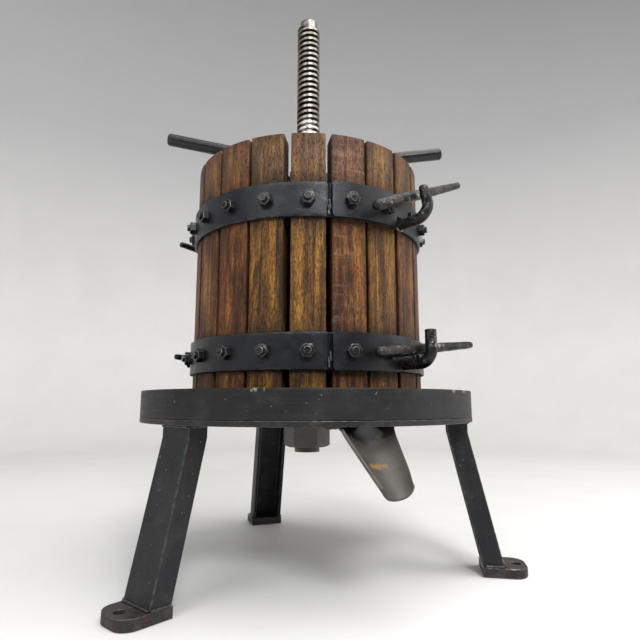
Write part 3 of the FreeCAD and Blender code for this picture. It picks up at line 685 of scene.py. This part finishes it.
def stave_outline(extra_low, extra_high, round_r):
    """Wedge with an arc for its outer face, seen from above: points and outward normals. Each corner is an arc
    about a centre that lies one rounding inside both its sides; the outer face is the basket's circle."""
    half = math.radians(STEP / 2)
    slope = math.tan(half)
    base = STAVE_GAP / 2 / math.cos(half)

    def centre(offset, at_outside):
        inset = offset + round_r / math.cos(half)
        if not at_outside:
            x = STAVE_IN + round_r
            return np.array([x, slope * x - inset])
        r = BASKET_R - round_r
        x = (slope * inset + math.sqrt(r * r * (1 + slope * slope) - inset * inset)) / (1 + slope * slope)
        return np.array([x, slope * x - inset])

    sides = []
    for extra in (extra_high, extra_low):
        offset = base - extra * MM
        outer, inner = centre(offset, True), centre(offset, False)
        start = math.atan2(outer[1], outer[0])
        a = np.linspace(start, math.pi / 2 + half, 6)
        b = np.linspace(math.pi / 2 + half, math.pi, 6)
        na, nb = np.stack([np.cos(a), np.sin(a)], -1), np.stack([np.cos(b), np.sin(b)], -1)
        one, two = outer + round_r * na, inner + round_r * nb
        t = np.linspace(0, 1, 9)[1:-1, None]
        flat = one[-1] + (two[0] - one[-1]) * t
        facing = np.concatenate([na, np.repeat(na[-1:], len(t), 0), nb])
        sides.append((np.concatenate([one, flat, two]), facing, start))
    (high, high_n, a1), (low, low_n, a0) = sides
    mirror = np.array([1, -1])
    low, low_n = (low * mirror)[::-1], (low_n * mirror)[::-1]
    t = np.linspace(0, 1, 9)[1:-1, None]
    inner = high[-1] + (low[0] - high[-1]) * t
    inner_n = np.repeat([[-1.0, 0.0]], 7, 0)
    a = np.linspace(-a0, a1, 19)[1:-1]
    face_n = np.stack([np.cos(a), np.sin(a)], -1)
    points = np.concatenate([high, inner, low, face_n * BASKET_R])
    normals = np.concatenate([high_n, inner_n, low_n, face_n])
    return points, normals


def stave_solid(index):
    """Stave: its outline carried up, drawn in near both ends so that they round over, and dipped a little by
    smooth bumps as planed wood is."""
    look = bpy.context.scene.press_wood
    low, high = STAVE_EXTRA[index]
    outline, normals = stave_outline(low, high, look.corner)
    z0, z1 = STAVE_LOW.z, STAVE_HIGH.z
    end = 1.1 * MM
    turn = np.linspace(0, np.pi / 2, 5)
    rise = end * (1 - np.cos(turn))
    z = np.concatenate([z0 + rise, np.linspace(z0 + end, z1 - end, 62)[1:-1], z1 - rise[::-1]])
    near = np.minimum(np.minimum(z - z0, z1 - z), end)
    inset = end - np.sqrt(np.maximum(end ** 2 - (end - near) ** 2, 0))
    local = np.concatenate([np.broadcast_to(outline, (len(z),) + outline.shape),
                            np.broadcast_to(z[:, None, None], (len(z), len(outline), 1))], -1).copy()
    dip = look.warp * (0.5 + 0.5 * ripple(local * (1, 1, 0.35), 0.016, 40 + index))
    corner_chip = 0.35 * MM * smooth(ripple(local, 0.006, 90 + index), 0.25, 0.8)
    near_corner = np.exp(-((np.abs(local[..., 1]) - 0.0155) / 0.0016) ** 2)
    local[..., :2] -= normals * (inset[:, None] + dip + corner_chip * near_corner)[..., None]
    out, along = direction(STEP * index)
    points = local[..., :1] * out + local[..., 1:2] * along
    points[..., 2] = local[..., 2]
    seed = 0.37 * index
    zz = local[..., 2]
    grain = np.stack([local[..., 1] + 0.31 * index, local[..., 0] * 1.2 + seed, zz + 1.7 * index], -1)
    # Grime and painted shade: darker just under each band (painted shade), just above each band (grime),
    # towards both ends, and along the stave's sides and on its faces in the gaps between staves (painted
    # shade).
    grime = np.zeros_like(zz)
    for bottom, top in BAND_Z.values():
        grime = np.maximum(grime, np.exp(-np.maximum(bottom - zz, 0) / 0.010) * (zz < bottom + 0.002))
        grime = np.maximum(grime, 0.90 * np.exp(-np.maximum(zz - top, 0) / 0.013) * (zz > top - 0.002))
    grime = np.maximum(grime, 0.9 * np.exp(-(zz - z0) / 0.014))
    grime = np.maximum(grime, 0.55 * np.exp(-(z1 - zz) / 0.012))
    inside = smooth(BASKET_R - local[..., 0], 0.001, 0.012)
    sides = 0.6 * np.exp(-((np.abs(local[..., 1]) - 0.0155) / 0.0035) ** 2)
    grime = np.clip(np.maximum(grime, sides) + 0.5 * inside, 0, 1)
    return shell(points, grain=grain, tone=np.full_like(zz, STAVE_TONES[index]),
                 rays=np.full_like(zz, STAVE_RAYS[index]), grime=grime)


class PRESS_OT_staves(bpy.types.Operator):
    """Makes the twenty oak staves of the basket"""

    bl_idname = "press.staves"
    bl_label = "Staves"

    def execute(self, context):
        wood = stave_wood()
        for i in range(STAVES):
            name = "stave_%02d" % (i + 1)
            mesh = make_mesh(name + "_wood", [stave_solid(i)])
            add_piece(name + "_wood", mesh, "basket", "stave_wood", wood, replaces=(name,))
        return {"FINISHED"}


# ---- bands and straps ------------------------------------------------------
def band_solid(level, turn, hammer, seed):
    """Half band: a rectangle with round corners carried round the basket from one split to the other. Its
    outer face dips by smooth bumps, and by a groove at the strap's end, whose depth follows two S-curves."""
    z0, z1 = BAND_Z[level]
    outline, normals, edge = rounded_box_outline(BASKET_R, BAND_R, z0, z1, 0.9 * MM, 4, 12)
    start, stop = BAND_SPLIT_AZ + turn + SPLIT_GAP_AZ, BAND_SPLIT_AZ + turn + 180 - SPLIT_GAP_AZ
    groove_high = HASP_AZ0 + turn + 180
    groove_low = groove_high - 2.2
    azimuth = np.unique(np.concatenate([np.linspace(start, stop, 300),
                                        np.linspace(groove_low - 1, groove_high + 1, 60)]))
    az = azimuth[:, None]
    outside = smooth(outline[:, 0], BASKET_R + 1.2 * MM, BAND_R - 0.4 * MM)[None]
    out, _ = direction(az[..., 0])
    spot = out[:, None] * outline[None, :, :1] + np.array([0, 0, 1.0]) * outline[None, :, 1:]
    broad, fine = (0.5 + 0.5 * ripple(spot, *bump) for bump in ((0.017, seed), (0.006, seed + 1)))
    dip = hammer * broad + 0.35 * hammer * fine
    lane = smooth(az, groove_low, groove_low + 0.35) * (1 - smooth(az, groove_high - 0.3, groove_high))
    ridge = np.exp(-((az - groove_low - 1.15) / 0.28) ** 2)
    groove = lane * (1.7 * MM - 1.0 * MM * ridge)
    inset = (dip + groove) * outside
    radius = outline[None, :, 0] - inset
    height = outline[None, :, 1] - normals[None, :, 1] * 0.5 * dip * (edge[None] > 0)
    points = out[:, None] * radius[..., None]
    points[..., 2] = height
    near = np.minimum(np.abs(outline[:, 1] - z0), np.abs(outline[:, 1] - z1))
    edge_field = np.exp(-(near / (1.5 * MM)) ** 2)[None] * np.ones_like(az)
    edge_field = np.maximum(edge_field, 0.6 * lane * ridge)
    return shell(points, edge=edge_field)


def seam_weld(level, turn, seed):
    """Weld at the lower part of the groove: two short beads one above the other."""
    z0, z1 = BAND_Z[level]
    solids = []
    rng = np.random.default_rng(seed)
    for low, high, shift in ((0.06, 0.34, -0.35), (0.22, 0.5, 0.3)):
        share = np.linspace(low, high, 20)
        azimuth = HASP_AZ0 - 1.1 + shift + 0.25 * np.sin(9 * share + rng.uniform(0, 6)) + turn
        out, _ = direction(azimuth)
        path = out * (BAND_R - 0.9 * MM)
        path[:, 2] = z0 + (z1 - z0) * share
        solids.append(bead(path, out, 1.15 * MM, seed + int(10 * low)))
    return solids


class PRESS_OT_bands(bpy.types.Operator):
    """Makes the four half bands with their grooves and the welds in them"""

    bl_idname = "press.bands"
    bl_label = "Bands"

    def execute(self, context):
        paint = band_paint()
        worn = edge_wear("seam_weld", (0.020, 0.021, 0.023), (0.20, 0.20, 0.195), 0.6)
        hammer = context.scene.press_metal.hammer
        seed = 5
        for level in BAND_Z:
            for half, turn in (("back", 0), ("front", 180)):
                name = "band_%s_%s" % (half, level)
                mesh = make_mesh(name + "_look", [band_solid(level, turn, hammer, seed)])
                add_piece(name + "_look", mesh, "basket", "band_steel", paint, replaces=(name,))
                welds = seam_weld(level, turn + 180, seed + 100)
                weld_name = "seam_weld_%s_%s" % (half, level)
                add_piece(weld_name, make_mesh("seam_weld", welds), "basket", "band_steel", worn)
                seed += 7
        return {"FINISHED"}


class PRESS_OT_straps(bpy.types.Operator):
    """Rounds the edges of the four straps that overlap the splits"""

    bl_idname = "press.straps"
    bl_label = "Straps"

    def execute(self, context):
        look = context.scene.press_metal
        paint = Finish.made["band_black"]
        worn = edge_wear("strap_edge", (0.006, 0.007, 0.009), (0.15, 0.15, 0.145), 0.45)
        for level in BAND_Z:
            for half in ("front", "back"):
                node = "hasp_%s_%s" % (half, level)
                softened(node, "basket", "band_steel", look.bevel, paint, worn, 50)
        return {"FINISHED"}


# ---- bolts, nuts, hooks and pins -------------------------------------------
class PRESS_OT_fasteners(bpy.types.Operator):
    """Finishes the bolts and nuts that hold the staves to the bands"""

    bl_idname = "press.fasteners"
    bl_label = "Bolts and nuts"

    def execute(self, context):
        steel = bare_steel("nut_steel", (0.017, 0.0175, 0.019), 0.10, 0.28, 0.5, 0.7)
        # The bright bevels of the nuts and bolt ends are partly rubbed steel and partly a painted highlight: a
        # bright ring on each bevel.
        worn = edge_wear("nut_edge_wear_and_highlight", (0.045, 0.045, 0.046), (0.33, 0.33, 0.32), 0.7)
        for level in BAND_Z:
            softened("band_nuts_" + level, "basket", "fastener_steel", 0.35 * MM, steel, worn, 25)
            softened("band_bolts_" + level, "basket", "fastener_steel", 0.45 * MM, steel, worn, 50)
        return {"FINISHED"}


def node_points(name):
    mesh = frame["nodes"][name].data
    flat = np.zeros(3 * len(mesh.vertices), np.float32)
    mesh.vertices.foreach_get("co", flat)
    return flat.reshape(-1, 3).astype(float)


def ends_along(name, axis):
    """Middles of the points that lie furthest back and furthest on along an axis."""
    points = node_points(name)
    axis = np.asarray(axis, float) / np.linalg.norm(axis)
    t = points @ axis
    return points[t < t.min() + 1e-5].mean(0), points[t > t.max() - 1e-5].mean(0)


def hook_path(name, lean, wave):
    """Centreline of a hook: out along a radius, round a quarter circle, and up. The upright leans along the
    circle by an S-curve of its height, and wave bows it the other way half-way up."""
    _, top = ends_along(name, (0, 0, 1))
    points = node_points(name)
    z0 = points[:, 2].min() + HOOK_BAR_R
    azimuth = math.degrees(math.atan2(top[0], -top[1]))
    radius = math.hypot(top[0], top[1])
    out, along = direction(azimuth)
    bend = HOOK_BEND
    run = np.linspace(BAND_R - 1.5 * MM, radius - bend, 14)
    leg = np.stack([run, np.full_like(run, z0)], -1)
    a = np.linspace(0, np.pi / 2, 16)[1:]
    turn = np.stack([radius - bend + bend * np.sin(a), z0 + bend - bend * np.cos(a)], -1)
    rise = np.linspace(z0 + bend, top[2], 26)[1:]
    up = np.stack([np.full_like(rise, radius), rise], -1)
    flat = np.concatenate([leg, turn, up])
    share = np.clip((flat[:, 1] - z0) / (top[2] - z0), 0, 1)
    shift = -lean * smooth(share, 0.35, 0.95) + wave * np.sin(np.pi * share) ** 2
    path = flat[:, :1] * out + shift[:, None] * along
    path[:, 2] = flat[:, 1]
    return path


class PRESS_OT_hooks(bpy.types.Operator):
    """Forges the four bent hooks, the upper ones with a slight S in their uprights"""

    bl_idname = "press.hooks"
    bl_label = "Hooks"

    def execute(self, context):
        steel = forged_steel()
        worn = edge_wear("hook_weld", (0.05, 0.042, 0.034), (0.30, 0.25, 0.19), 0.6)
        for i, (half, level) in enumerate((h, l) for h in ("front", "back") for l in BAND_Z):
            name = "hook_%s_%s" % (half, level)
            upper = level == "upper"
            path = hook_path(name, 4.0 * MM if upper else 0.6 * MM, 2.0 * MM if upper else 0.0)
            height = path[:, 2] - path[0, 2]
            radius = HOOK_BAR_R * (1 - 0.15 * smooth(height, 0.012, 0.030) * upper)
            bar = pipe(path, radius, 32, 0, 2.4 * MM if upper else 1.0 * MM, 0.35 * MM, 300 + i, 0.03)
            add_piece(name + "_look", make_mesh(name + "_look", [bar], 50), "basket", "forged_steel", steel,
                      replaces=(name,))
            out, along = direction(math.degrees(math.atan2(path[0, 0], -path[0, 1])))
            a = np.radians(np.linspace(150, 400, 40))[:, None]
            circle = along * np.cos(a) + np.array([0, 0, 1]) * np.sin(a)
            ring = path[0] + out * 2.4 * MM + (HOOK_BAR_R + 0.4 * MM) * circle
            weld = make_mesh("hook_weld", [bead(ring, out, 1.3 * MM, 350 + i)])
            add_piece("hook_weld_%s_%s" % (half, level), weld, "basket", "forged_steel", worn)
        return {"FINISHED"}


class PRESS_OT_pins(bpy.types.Operator):
    """Forges the four loose tapered latch pins"""

    bl_idname = "press.pins"
    bl_label = "Latch pins"

    def execute(self, context):
        steel = Finish.made["forged_bar"]
        slides = {j["child"]: j["axis"] for j in frame["joints"]}
        for i, name in enumerate(n for n in sorted(frame["nodes"]) if n.startswith("latch_pin")):
            start, stop = ends_along(name, slides[name])
            length = np.linalg.norm(stop - start)
            t = np.linspace(0, 1, 90)
            full = PIN_FULL_AT / length
            swell, taper = 5.25 + 0.6 * smooth(t, 0, full), 5.85 - 2.3 * (t - full) / (1 - full)
            radius = np.where(t < full, swell, taper) * MM
            path = start + (stop - start) * t[:, None]
            bar = pipe(path, radius, 32, 4.4 * MM, 2.2 * MM, 0.38 * MM, 400 + 3 * i, 0.05)
            add_piece(name + "_look", make_mesh(name + "_look", [bar], 50), name, "forged_steel", steel,
                      replaces=(name,))
        return {"FINISHED"}


# ---- pan, spout, stand -----------------------------------------------------
def rim_solid():
    """Flat bar bent to a hoop: a rectangle with round corners carried round the pan, its skin waved."""
    outline, normals, edge = rounded_box_outline(PAN_R - RIM_T, PAN_R, RIM_LOW.z, RIM_HIGH.z, 0.8 * MM, 3, 8)
    azimuth = np.linspace(0, 360, 420, endpoint=False)
    out, _ = direction(azimuth)
    spot = out[:, None] * outline[None, :, :1] + np.array([0, 0, 1.0]) * outline[None, :, 1:]
    broad, fine = (0.5 + 0.5 * ripple(spot, *bump) for bump in ((0.06, 21), (0.012, 22)))
    dip = 0.22 * MM * broad + 0.10 * MM * fine
    points = out[:, None] * (outline[None, :, 0] - normals[None, :, 0] * dip)[..., None]
    points[..., 2] = outline[None, :, 1] - normals[None, :, 1] * 0.6 * dip * (edge[None] > 0)
    return hoop(points)


class PRESS_OT_pan(bpy.types.Operator):
    """Makes the pan's rolled rim and finishes the pan's floor"""

    bl_idname = "press.pan"
    bl_label = "Pan"

    def execute(self, context):
        look = context.scene.press_metal
        paint = stand_paint("pan_black", look.pan, 0.12, 0.0, 0.9, (18, 18, 700))
        plate = stand_paint("pan_plate", tuple(1.3 * c for c in look.pan), 0.3, 0.0, 0.0, (40, 40, 500))
        worn = edge_wear("pan_edge", look.pan, (0.22, 0.20, 0.175), 0.5)
        add_piece("pan_rim_look", make_mesh("pan_rim_look", [rim_solid()]), "frame", "pan_paint", paint,
                  replaces=("pan_rim",))
        softened("pan_floor", "frame", "pan_paint", 0.5 * MM, plate, worn)
        return {"FINISHED"}


SPOUT_AZ, SPOUT_YAW = 1.2, 8.5
SPOUT_FALL = math.radians(43.0)
SPOUT_END = (0.187, 0.089)
SPOUT_LENGTH = (PAN_LOW.z - SPOUT_END[1]) / math.sin(SPOUT_FALL)


def spout_frame():
    """Middle of the spout's lip, the unit vector down its slope, and the one across it."""
    lip = direction(SPOUT_AZ)[0] * SPOUT_END[0] + np.array([0, 0, SPOUT_END[1]])
    out, along = direction(SPOUT_AZ + SPOUT_YAW)
    return lip, out * math.cos(SPOUT_FALL) - np.array([0, 0, 1.0]) * math.sin(SPOUT_FALL), along


def spout_point(back, across, lift):
    """Row place of a point of the trough: a distance back from the lip, across it, and above its chord."""
    lip, down_slope, along = spout_frame()
    square = np.cross(down_slope, along)
    back, across, lift = (np.asarray(v, float)[..., None] for v in (back, across, lift))
    return lip - down_slope * back + along * across + square * lift


SPOUT_MARKS = (tuple(spout_point(0.028, -0.002, 0.0009)), tuple(spout_point(0.0085, 0.0048, 0.0012)))


def spout_solid():
    """Sheet trough: an arc across whose half width and depth grow back from the lip, and that flares into
    two ears under the pan. Its lip is rounded in plan. The sheet has one thickness, square to the arc."""
    t = np.linspace(0, 1, 60)[:, None]
    s = np.linspace(-1, 1, 41)[None]
    half_width = (12.5 + 12 * t + 8.5 * smooth(t, 0.80, 1.06)) * MM
    depth = (7 + 3.5 * t + 3.0 * smooth(t, 0.7, 1.0)) * MM
    curve = (half_width ** 2 + depth ** 2) / (2 * depth)
    reach = np.arcsin(np.clip(half_width / curve, -1, 1))
    lip_round = 4.5 * MM * s ** 4 * (1 - smooth(t, 0, 0.3))
    back = t * SPOUT_LENGTH * 0.985 + lip_round
    faces = []
    for over in (0.0, SPOUT_T):
        r = curve + over
        face = spout_point(back, r * np.sin(reach * s), curve - r * np.cos(reach * s))
        face[..., 2] = np.minimum(face[..., 2], PAN_LOW.z - (0.5 * MM if over else 0.4 * MM))
        faces.append(face)
    return sheet(*faces, 0.5 * MM)


class PRESS_OT_spout(bpy.types.Operator):
    """Makes the sheet spout that flares under the pan, and its weld"""

    bl_idname = "press.spout"
    bl_label = "Spout"

    def execute(self, context):
        steel = spout_steel()
        worn = edge_wear("weld_edge", (0.05, 0.045, 0.04), (0.20, 0.19, 0.17), 0.5)
        add_piece("spout_look", make_mesh("spout_look", [spout_solid()], 45), "frame", "bare_steel", steel,
                  replaces=("spout",))
        t = np.linspace(-1, 1, 60)
        path = spout_point(SPOUT_LENGTH * 0.99 + 0 * t, 31 * MM * t, 13 * MM * t * t - 3 * MM)
        path[:, 2] = PAN_LOW.z - 1.0 * MM
        add_piece("spout_weld", make_mesh("spout_weld", [bead(path, (0, 0, 1), 1.6 * MM, 61)]), "frame",
                  "bare_steel", worn)
        return {"FINISHED"}


class PRESS_OT_stand(bpy.types.Operator):
    """Rounds the channel legs and their foot plates and lays the welds at their ends"""

    bl_idname = "press.stand"
    bl_label = "Legs and feet"

    def execute(self, context):
        look = context.scene.press_metal
        paint = stand_paint("leg_black", look.leg, 0.15, 0.06, 0.0, (260, 260, 22))
        foot = stand_paint("foot_worn", look.foot, 0.40, 0.09, 0.0, (200, 200, 200))
        worn = edge_wear("leg_edge", tuple(1.3 * c for c in look.leg), (0.17, 0.165, 0.155), 0.45)
        foot_edge = edge_wear("foot_edge", look.foot, (0.23, 0.20, 0.17), 0.6)
        for i, (side, azimuth) in enumerate(LEG_AZIMUTHS.items()):
            softened("leg_" + side, "frame", "leg_paint", 1.1 * MM, paint, worn)
            softened("foot_plate_" + side, "frame", "foot_paint", 1.3 * MM, foot, foot_edge)
            out, along = direction(azimuth)
            across = np.linspace(-17, 17, 60)[:, None] * MM
            welds = []
            ends = ((LEG_TOP_R, PAN_LOW.z - 0.9 * MM), (LEG_FOOT_R, FOOT_TOP + 0.8 * MM))
            for k, (radius, z) in enumerate(ends):
                path = out * radius + along * across
                path[:, 2] = z
                welds.append(bead(path, out, 1.5 * MM, 500 + 10 * i + k))
            for hand in (-1, 1):
                inwards = np.linspace(0, 16, 34)[:, None] * MM
                for k, (radius, z) in enumerate(ends):
                    path = out * (radius - 0.8 * MM - inwards) + along * hand * LEG_HALF_WIDTH
                    path[:, 2] = z
                    welds.append(bead(path, along * hand, 1.4 * MM, 602 + 10 * i + k + hand))
            add_piece("leg_welds_" + side, make_mesh("leg_welds_" + side, welds), "frame", "leg_paint", worn)
        return {"FINISHED"}


# ---- screw and press parts -------------------------------------------------
class PRESS_OT_screw(bpy.types.Operator):
    """Finishes the screw and the two nuts that hold it to the pan"""

    bl_idname = "press.screw"
    bl_label = "Screw"

    def execute(self, context):
        finish_node("screw", screw_steel())
        steel = bare_steel("base_nut_steel", (0.060, 0.057, 0.052), 0.45, 0.44, 0.25, 0.45)
        worn = edge_wear("base_nut_edge", (0.12, 0.11, 0.10), (0.30, 0.29, 0.27), 0.6)
        for node in ("base_nut", "lock_nut"):
            softened(node, "frame", "bare_steel", 0.6 * MM, steel, worn, 25)
        return {"FINISHED"}


class PRESS_OT_handle(bpy.types.Operator):
    """Finishes the hub, its two arms, the thrust plate and the pressing board"""

    bl_idname = "press.handle"
    bl_label = "Handle and follower"

    def execute(self, context):
        steel = bare_steel("handle_black", (0.010, 0.010, 0.011), 0.12, 0.30, 0.3, 0.4)
        worn = edge_wear("handle_edge", (0.035, 0.035, 0.035), (0.25, 0.24, 0.23), 0.6)
        softened("hub_nut", "handle", "handle_steel", 0.8 * MM, steel, worn, 25)
        for side in ("left", "right"):
            softened("handle_arm_" + side, "handle", "handle_steel", 3.2 * MM, steel, steel, 50)
        softened("thrust_plate", "follower", "bare_steel", 0.6 * MM, Finish.made["base_nut_steel"], worn)
        finish_node("follower_disc", plain_wood())
        return {"FINISHED"}


# ---- stage -----------------------------------------------------------------
def area_light(name, place, target, size, power, colour=(1, 1, 1)):
    """Square soft light that faces a point."""
    light = bpy.data.lights.new(name, "AREA")
    light.shape = "RECTANGLE"
    light.size, light.size_y = size
    light.energy = power
    light.color = colour
    lamp = bpy.data.objects.new(name, light)
    bpy.context.scene.collection.objects.link(lamp)
    lamp.location = place
    aim = np.asarray(target, float) - np.asarray(place, float)
    lamp.rotation_euler = Vector(aim).to_track_quat("-Z", "Y").to_euler()
    return lamp


class PRESS_OT_stage(bpy.types.Operator):
    """Lays the pale floor and wall, the soft lights and the camera"""

    bl_idname = "press.stage"
    bl_label = "Stage"

    def execute(self, context):
        look = context.scene.press_stage
        f = Finish("studio_floor")
        place = f.place()
        mottle = f.noise(place, 7, 5, 0.6)
        dust = f.patches(place, 42, 6, 0.75, 0.60, 0.74)
        pale = look.floor
        colour = f.blend(f.span(mottle, 0.3, 0.7), pale, tuple(c * 0.95 for c in pale))
        colour = f.cover(colour, (0.45, 0.42, 0.38), dust, 0.18)
        # Painted shade on the backdrop: the wall is painted darker towards its top.
        height = f.axis(place, "Z")
        colour = f.blend(f.span(height, 0.35, 1.35, 0.0, 0.75), colour, (0.36, 0.36, 0.37))
        # the room behind the camera is dark up to head height
        room = f.sum("MULTIPLY", f.span(f.axis(place, "Y"), -0.9, -1.4), f.span(height, 1.25, 0.9))
        colour = f.blend(room, colour, (0.04, 0.04, 0.045))
        f.done(colour, f.span(mottle, 0, 1, 0.5, 0.7), dust, 0.0002, 0.1)
        # floor of a disc and a wall that rises behind all round, joined by a quarter circle
        radius, bend, wall = 1.9, 0.6, 3.0
        a = np.linspace(0, np.pi / 2, 14)
        curve = np.stack([radius - bend + bend * np.sin(a[1:]), bend - bend * np.cos(a[1:])], -1)
        profile = np.concatenate([[[0.01, 0], [radius - bend, 0]], curve, [[radius, wall]]])
        turn = np.linspace(0, 2 * np.pi, 96, endpoint=False)
        rings = np.stack([np.outer(np.cos(turn), profile[:, 0]), np.outer(np.sin(turn), profile[:, 0]),
                          np.tile(profile[:, 1] - 0.0002, (96, 1))], -1)
        quads = grid_quads(96, len(profile), True, False)
        hole = np.stack([np.full(96, 96 * len(profile)), np.arange(96) * len(profile),
                         ((np.arange(96) + 1) % 96) * len(profile)], -1)
        points = np.concatenate([rings.reshape(-1, 3), [[0, 0, -0.0002]]])
        floor = {"points": points, "quads": quads, "tris": hole}
        mesh = make_mesh("studio_floor", [floor])
        mesh.materials.append(f.material)
        stage = bpy.data.objects.new("studio_floor", mesh)
        context.scene.collection.objects.link(stage)

        area_light("key", (0.35, -0.55, 1.55), (0, 0, 0.25), (1.5, 1.5), look.key, (1.0, 0.985, 0.965))
        area_light("fill", (1.35, -0.75, 0.75), (0, 0, 0.25), (1.0, 1.2), look.fill)
        area_light("sheen", (-0.10, -1.75, 1.38), (0, 0, 0.38), (0.6, 0.35), look.sheen, (0.97, 0.985, 1.0))
        area_light("left", (-1.25, -0.95, 1.25), (0, 0, 0.30), (0.9, 0.8), 1.1 * look.fill, (0.96, 0.98, 1.0))
        world = bpy.data.worlds.new("room")
        world.use_nodes = True
        world.node_tree.nodes["Background"].inputs["Color"].default_value = (0.97, 0.985, 1.0, 1)
        world.node_tree.nodes["Background"].inputs["Strength"].default_value = look.sky
        context.scene.world = world
        context.scene.view_settings.view_transform = "Standard"

        camera = bpy.data.objects.new("camera", bpy.data.cameras.new("camera"))
        context.scene.collection.objects.link(camera)
        camera.data.lens = look.lens
        camera.data.sensor_width = 36.0
        camera.location = look.place
        camera.rotation_euler = look.turn
        context.scene.camera = camera
        return {"FINISHED"}


class PRESS_PT_panel(bpy.types.Panel):
    """Lists the press's pieces in the order in which they are made"""

    bl_idname = "PRESS_PT_panel"
    bl_label = "Cider press"
    bl_space_type = "VIEW_3D"
    bl_region_type = "UI"
    bl_category = "Cider press"

    def draw(self, context):
        for group in ("press_wood", "press_metal", "press_stage"):
            settings = getattr(context.scene, group)
            box = self.layout.box()
            for key in settings.__annotations__:
                box.prop(settings, key)
        for operator in OPERATORS:
            self.layout.operator(operator.bl_idname)


GROUPS = {"press_wood": PRESS_PG_wood, "press_metal": PRESS_PG_metal, "press_stage": PRESS_PG_stage}
OPERATORS = (PRESS_OT_staves, PRESS_OT_bands, PRESS_OT_straps, PRESS_OT_fasteners, PRESS_OT_hooks,
             PRESS_OT_pins, PRESS_OT_pan, PRESS_OT_spout, PRESS_OT_stand, PRESS_OT_screw, PRESS_OT_handle,
             PRESS_OT_stage)


def register():
    for name, group in GROUPS.items():
        bpy.utils.register_class(group)
        setattr(bpy.types.Scene, name, PointerProperty(type=group))
    for cls in (*OPERATORS, PRESS_PT_panel):
        bpy.utils.register_class(cls)


def unregister():
    for cls in (PRESS_PT_panel, *reversed(OPERATORS)):
        bpy.utils.unregister_class(cls)
    for name, group in GROUPS.items():
        delattr(bpy.types.Scene, name)
        bpy.utils.unregister_class(group)


def main():
    register()
    for operator in OPERATORS:
        group, name = operator.bl_idname.split(".")
        getattr(getattr(bpy.ops, group), name)()


if __name__ == "__main__":
    main()
